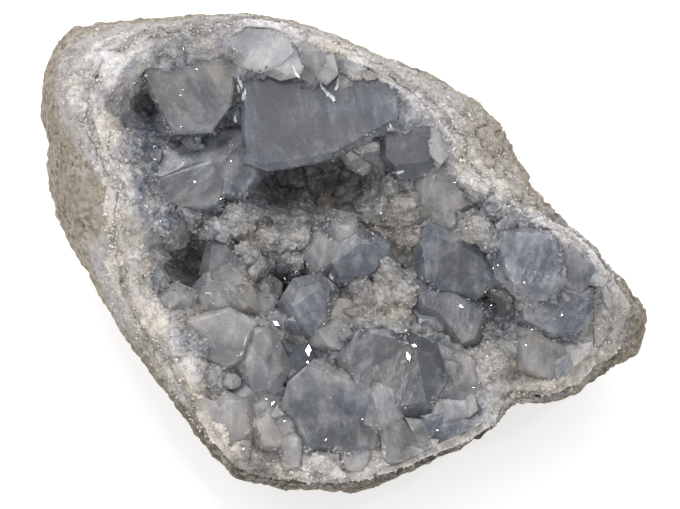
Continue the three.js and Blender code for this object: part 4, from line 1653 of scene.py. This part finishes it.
def turned(points, angles):
    """Points turned about z, each by its own angle."""
    cos, sin = np.cos(angles), np.sin(angles)
    x, y, z = points.T
    return np.column_stack([x * cos - y * sin, x * sin + y * cos, z])


def face_vectors(points, loops, starts):
    """Each face's normal, as long as twice its area: the sum of its corners' cross products."""
    after = np.arange(1, len(loops) + 1)
    after[np.append(starts[1:], len(loops)) - 1] = starts
    return np.add.reduceat(np.cross(points[loops], points[loops[after]]), starts)


class GEODE_OT_crystals(bpy.types.Operator):
    """Grows the large crystals, those that stand side by side with them, and the middle-sized ones"""

    bl_idname = "geode.crystals"
    bl_label = "Crystals"

    def execute(self, context):
        settings = context.scene.geode_crystals
        druse = context.scene.geode_druse
        rng, pit_rng = np.random.default_rng(21), np.random.default_rng(22)
        large, shares = grown_blocks(rng, BLOCKS)

        count = druse.middle_count
        places, normals = bed_places(rng, count, middle_share)
        width = druse.middle_width / MM * rng.uniform(0.42, 1, count) ** 1.4
        middle = scatter(rng, places, normals, width, 6, (1.0, 1.5), 0.45, 0.3)
        paleness, warmth, _ = tints(places)
        shares += list(zip(paleness, warmth))
        pit, pit_shares = grown_blocks(pit_rng, PIT_BLOCKS)

        points, loops, starts, owners = fused(*joined_lists(joined_lists(large, middle), pit))
        at_corner = np.repeat(owners, np.diff(np.append(starts, len(loops))))
        pairs = ((rng, shares), (pit_rng, pit_shares))
        turns = [draws.normal(math.pi / 2, 0.4, len(rows)) for draws, rows in pairs]
        own = turned(points[loops] @ FACE_AXES, np.concatenate(turns)[at_corner])
        shares = np.array(shares) + rng.normal(0, 0.06, (len(shares), 2))
        pale, warm = np.concatenate([shares, pit_shares])[owners].T
        facing = face_vectors(points, loops, starts)
        area = np.linalg.norm(facing, axis=1) / 2
        # Painted highlights: faces that turn away from the camera, and the small facets along the edges, are
        # made paler.
        side, small_facet_share = eased(0.85, 0.2, unit(facing)[:, 2]), eased(30, 4, area)
        pale = pale + SIDE_HIGHLIGHT * side + SMALL_FACET_HIGHLIGHT * small_facet_share
        layers = {
            "own": own + at_corner[:, None] * OWN_STEP,
            "pale": np.clip(pale, 0, 1),
            "warm": np.clip(warm, 0, 1),
            "deep": depth_shade_share(points),
        }
        make_piece(
            "large_crystals",
            points,
            loops,
            starts,
            celestite(settings, "celestite", settings.clear),
            "celestite",
            layers,
        )
        return {"FINISHED"}


class GEODE_OT_fine_crystals(bpy.types.Operator):
    """Lines the bed with fine crystals"""

    bl_idname = "geode.fine_crystals"
    bl_label = "Fine crystals"

    def execute(self, context):
        settings = context.scene.geode_crystals
        druse = context.scene.geode_druse
        material = druse_material(settings, "fine_druse", 0.1, 0.05)
        for part in range(2):
            rng = np.random.default_rng(30 + part)
            count = druse.fine_count // 2
            points, normals = bed_places(rng, count, lambda p: 1 - 0.8 * hollow_share(p))
            width = druse.fine_width / MM * rng.uniform(0.35, 0.85, count)
            grown = scatter(rng, points, normals, width, 4, (0.8, 1.3), 0.7, 0.35)
            corners, owners, loops, starts = grown
            make_piece(
                f"fine_druse_{part + 1}",
                corners,
                loops,
                starts,
                material,
                "celestite",
                tint_layers(corners, rng, owners, 0.07),
            )
        return {"FINISHED"}


class GEODE_OT_sugar(bpy.types.Operator):
    """Coats the sides of the large crystals with fine crystals"""

    bl_idname = "geode.sugar"
    bl_label = "Sugar"

    def execute(self, context):
        settings = context.scene.geode_crystals
        druse = context.scene.geode_druse
        rng = np.random.default_rng(35)
        places = rng.uniform([-62, -60], [74, 60], (druse.sugar_count, 2))
        places = places[way_out(places) < 0.98]
        height, normals, crystal = crust_top(places)
        points = np.column_stack([places, height])
        patchy = noise(np.nan_to_num(points), 4.0, 21) + 0.5 * noise(np.nan_to_num(points), 1.7, 22)
        chosen = (crystal == 1) & (normals[:, 2] < 0.72) & (patchy > -0.1)
        points, normals = points[chosen], normals[chosen]
        width = druse.fine_width / MM * rng.uniform(0.3, 0.65, len(points))
        grown = scatter(rng, points, normals, width, 4, (0.8, 1.3), 0.6, 0.4)
        corners, owners, loops, starts = grown
        make_piece(
            "sugar",
            corners,
            loops,
            starts,
            druse_material(settings, "sugar", 0.1, 0.05),
            "celestite",
            tint_layers(corners, rng, owners, 0.05),
        )
        return {"FINISHED"}


class GEODE_OT_rim_crystals(bpy.types.Operator):
    """Strews the rim's pale band with crumbs of crystal"""

    bl_idname = "geode.rim_crystals"
    bl_label = "Rim crystals"

    def execute(self, context):
        settings = context.scene.geode_crystals
        count = context.scene.geode_druse.rim_count
        rng = np.random.default_rng(41)
        t = rng.uniform(0, 1, count)
        rim_share = 1 - (1 - band_start(t)) * rng.uniform(0, 1, count) ** 1.3
        across, along = quarter(90 * rim_share, WALL_FULLNESS)
        start, end = girth(t), crest(t)
        points = lerp(start, end, np.stack([across, across, along], axis=-1))
        normals = unit(np.column_stack([(start - end)[:, :2] * 0.05, np.ones(count)]))
        width = rng.uniform(0.35, 0.75, count)
        grown = scatter(rng, points - normals * 0.3, normals, width, 4, (0.7, 1.2), 0.5, 0.6)
        corners, owners, loops, starts = grown
        layers = tint_layers(corners, rng, owners)
        make_piece(
            "rim_druse",
            corners,
            loops,
            starts,
            druse_material(settings, "rim_druse", 0.35, 0.3),
            "celestite",
            {**layers, "pale": np.maximum(0, layers["pale"] - 0.12)},
        )
        return {"FINISHED"}


def crack_slivers(rng):
    """The slivers of the cleavage cracks: thin prisms that lie on the crust side by side, each along its
    crack's turn."""
    rows = np.repeat(FLAKES, SLIVERS, axis=0)
    height, facing, _ = crust_top(rows[:, :2])
    middle = np.column_stack([rows[:, :2], height])
    turn = np.radians(rows[:, 4])
    along = np.column_stack([np.cos(turn), np.sin(turn), 0 * turn])
    along = unit(along - facing * np.sum(along * facing, axis=-1, keepdims=True))
    side = np.cross(facing, along)
    axes = np.stack([along, side, facing], axis=1)
    count = len(rows)
    length = rows[:, 2] * rng.uniform(0.5, 1.05, count)
    shift = rng.uniform(-0.5, 0.5, (2, count, 1)) * [rows[:, 2:3] - length[:, None], rows[:, 3:4]]
    middle = middle + along * shift[0] + side * shift[1]
    sizes = (
        length,
        rows[:, 3] * rng.uniform(0.35, 0.75, count),
        np.full(count, 0.5),
        np.full(count, 0.6),
        np.full(count, 0.15),
        rng.normal(0, 0.5, count),
    )
    return grow(rng, middle - along * length[:, None] / 2 + facing * 0.02, axes, sizes, 6, 0.1)


def lamp_facets(rng, tries, distance):
    """Small crystals whose flat tops face half-way between the first lamp and the camera, so that they
    shine: the glints, and as many sparks as stand on the crust of those tried. Returns corners, each
    corner's place in its own crystal, and the faces."""
    sparks = rng.uniform([-60, -58, 0], [70, 57, 1], (tries, 3))
    sparks = sparks[(way_out(sparks) < 1.02) & (hollow_share(sparks) < 0.5)]
    sparks[:, 2] = lerp(0.45, 1.5, sparks[:, 2] ** 2)
    spots = np.concatenate([GLINTS, sparks])
    height, _, _ = crust_top(spots[:, :2])
    spots, height = spots[~np.isnan(height)], height[~np.isnan(height)]
    places = np.column_stack([spots[:, :2], height])
    lamp = LAMP_PLACES[0] / MM + VIEW_MIDDLE
    eye = VIEW_MIDDLE + [0, 0, distance]
    along = unit(unit(lamp - places) + unit(eye - places))
    width = spots[:, 2] * 0.6
    count = len(spots)
    sizes = (
        width,
        width,
        width * rng.uniform(0.35, 0.7, count),
        0.3 + 0 * width,
        0.7 + 0 * width,
        0 * width,
    )
    axes = crystal_axes(along, rng.uniform(0, math.pi, count))
    roots = places - along * 0.75 * width[:, None]
    normals, offsets = prism_planes(rng, sizes, 4, 0.02)
    normals[:, -2] = [1, 0, 0]
    corners, solid, loops, starts = polyhedra(normals, offsets)
    placed = roots[solid] + np.einsum("ck,ckj->cj", corners, axes[solid])
    return placed, corners + solid[:, None] * CLEAR_STEP, loops, starts


class GEODE_OT_flakes(bpy.types.Operator):
    """Sets the cleavage cracks, with their painted silver reflection, and the facets that catch the first
    lamp
    """

    bl_idname = "geode.flakes"
    bl_label = "Cleavage and glints"

    def execute(self, context):
        settings = context.scene.geode_crystals
        rng = np.random.default_rng(51)
        corners, _, loops, starts = crack_slivers(rng)
        make_piece("cleavage_flakes", corners, loops, starts, cleavage(settings), "celestite", {})

        distance = context.scene.geode_stage.distance / MM
        corners, own, loops, starts = lamp_facets(rng, context.scene.geode_druse.spark_count, distance)
        make_piece(
            "clear_crystals",
            corners,
            loops,
            starts,
            celestite(settings, "clear_celestite", CLEAR_SHARE, 0.0, 0.0),
            "celestite",
            {"own": own, **tint_layers(corners)},
        )
        return {"FINISHED"}


class GEODE_OT_stage(bpy.types.Operator):
    """Lays the floor and sets the lights and the camera"""

    bl_idname = "geode.stage"
    bl_label = "Stage"

    def execute(self, context):
        settings = context.scene.geode_stage
        collection = context.scene.collection
        mesh = bpy.data.meshes.new("floor")
        corners = [(FLOOR_HALF * x, FLOOR_HALF * y, 0) for x, y in ((-1, -1), (1, -1), (1, 1), (-1, 1))]
        mesh.from_pydata(corners, [], [(0, 1, 2, 3)])
        made, wiring, place = new_material("floor")
        tone = colour(settings.floor)
        faint = wiring.patches(place, 30.0, 2.0, 0.3, 0.7)
        base = wiring.partly(faint, 0.1, tone, tuple(0.97 * part for part in tone))
        shader = wiring.node(
            "ShaderNodeBsdfPrincipled",
            {
                "Base Color": base,
                "Roughness": 0.9,
                "Emission Color": (1.0, 1.0, 1.0, 1.0),
                "Emission Strength": settings.glow,
            },
        )
        finish_material(wiring, shader)
        mesh.materials.append(made)
        floor = bpy.data.objects.new("floor", mesh)
        collection.objects.link(floor)

        centre = to_row(VIEW_MIDDLE)

        def light(name, place, size, power):
            """A round area light that faces the view's middle."""
            data = bpy.data.lights.new(name, "AREA")
            data.shape = "DISK"
            data.size = size
            data.energy = power
            item = bpy.data.objects.new(name, data)
            collection.objects.link(item)
            away = Vector(place @ FACE_AXES)
            item.location = Vector(centre) + away
            item.rotation_mode = "QUATERNION"
            item.rotation_quaternion = away.to_track_quat("Z", "Y")

        light("softbox", SOFTBOX_PLACE, SOFTBOX_SIZE, settings.softbox)
        for number, place in enumerate(LAMP_PLACES):
            light(f"lamp_{number + 1}", place, LAMP_SIZE, settings.lamp)

        world = bpy.data.worlds.new("surround")
        context.scene.world = world
        world.use_nodes = True
        world.node_tree.nodes["Background"].inputs["Color"].default_value = (1, 1, 1, 1)
        world.node_tree.nodes["Background"].inputs["Strength"].default_value = settings.surround
        context.scene.view_settings.view_transform = "Standard"

        data = bpy.data.cameras.new("camera")
        data.sensor_width = SENSOR
        data.lens = SENSOR * settings.distance / settings.width
        data.clip_start, data.clip_end = 0.05, 20
        camera = bpy.data.objects.new("camera", data)
        collection.objects.link(camera)
        place = centre + FACE_AXES[2] * settings.distance
        camera.matrix_world = Matrix.Translation(place) @ Matrix(FACE_AXES.T.tolist()).to_4x4()
        context.scene.camera = camera
        return {"FINISHED"}


OPERATORS = (
    GEODE_OT_stone,
    GEODE_OT_bed,
    GEODE_OT_crystals,
    GEODE_OT_fine_crystals,
    GEODE_OT_sugar,
    GEODE_OT_rim_crystals,
    GEODE_OT_flakes,
    GEODE_OT_stage,
)
SETTINGS = {
    "geode_stone": GeodeStoneSettings,
    "geode_crystals": GeodeCrystalSettings,
    "geode_druse": GeodeDruseSettings,
    "geode_stage": GeodeStageSettings,
}


class GEODE_PT_panel(bpy.types.Panel):
    """Lists the geode's settings and its operators"""

    bl_idname = "GEODE_PT_panel"
    bl_label = "Geode"
    bl_space_type = "VIEW_3D"
    bl_region_type = "UI"
    bl_category = "Geode"

    def draw(self, context):
        for name, group in SETTINGS.items():
            box = self.layout.box()
            box.label(text=group.__name__.replace("Geode", "").replace("Settings", ""))
            for field in group.__annotations__:
                box.prop(getattr(context.scene, name), field)
        for operator in OPERATORS:
            self.layout.operator(operator.bl_idname)


def register():
    for group in SETTINGS.values():
        bpy.utils.register_class(group)
    for name, group in SETTINGS.items():
        setattr(bpy.types.Scene, name, PointerProperty(type=group))
    for operator in (*OPERATORS, GEODE_PT_panel):
        bpy.utils.register_class(operator)


def unregister():
    for operator in (GEODE_PT_panel, *reversed(OPERATORS)):
        bpy.utils.unregister_class(operator)
    for name, group in reversed(SETTINGS.items()):
        delattr(bpy.types.Scene, name)
        bpy.utils.unregister_class(group)


def main():
    """Registers the classes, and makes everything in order."""
    register()
    for operator in OPERATORS:
        folder, name = operator.bl_idname.split(".")
        getattr(getattr(bpy.ops, folder), name)()


if __name__ == "__main__":
    main()
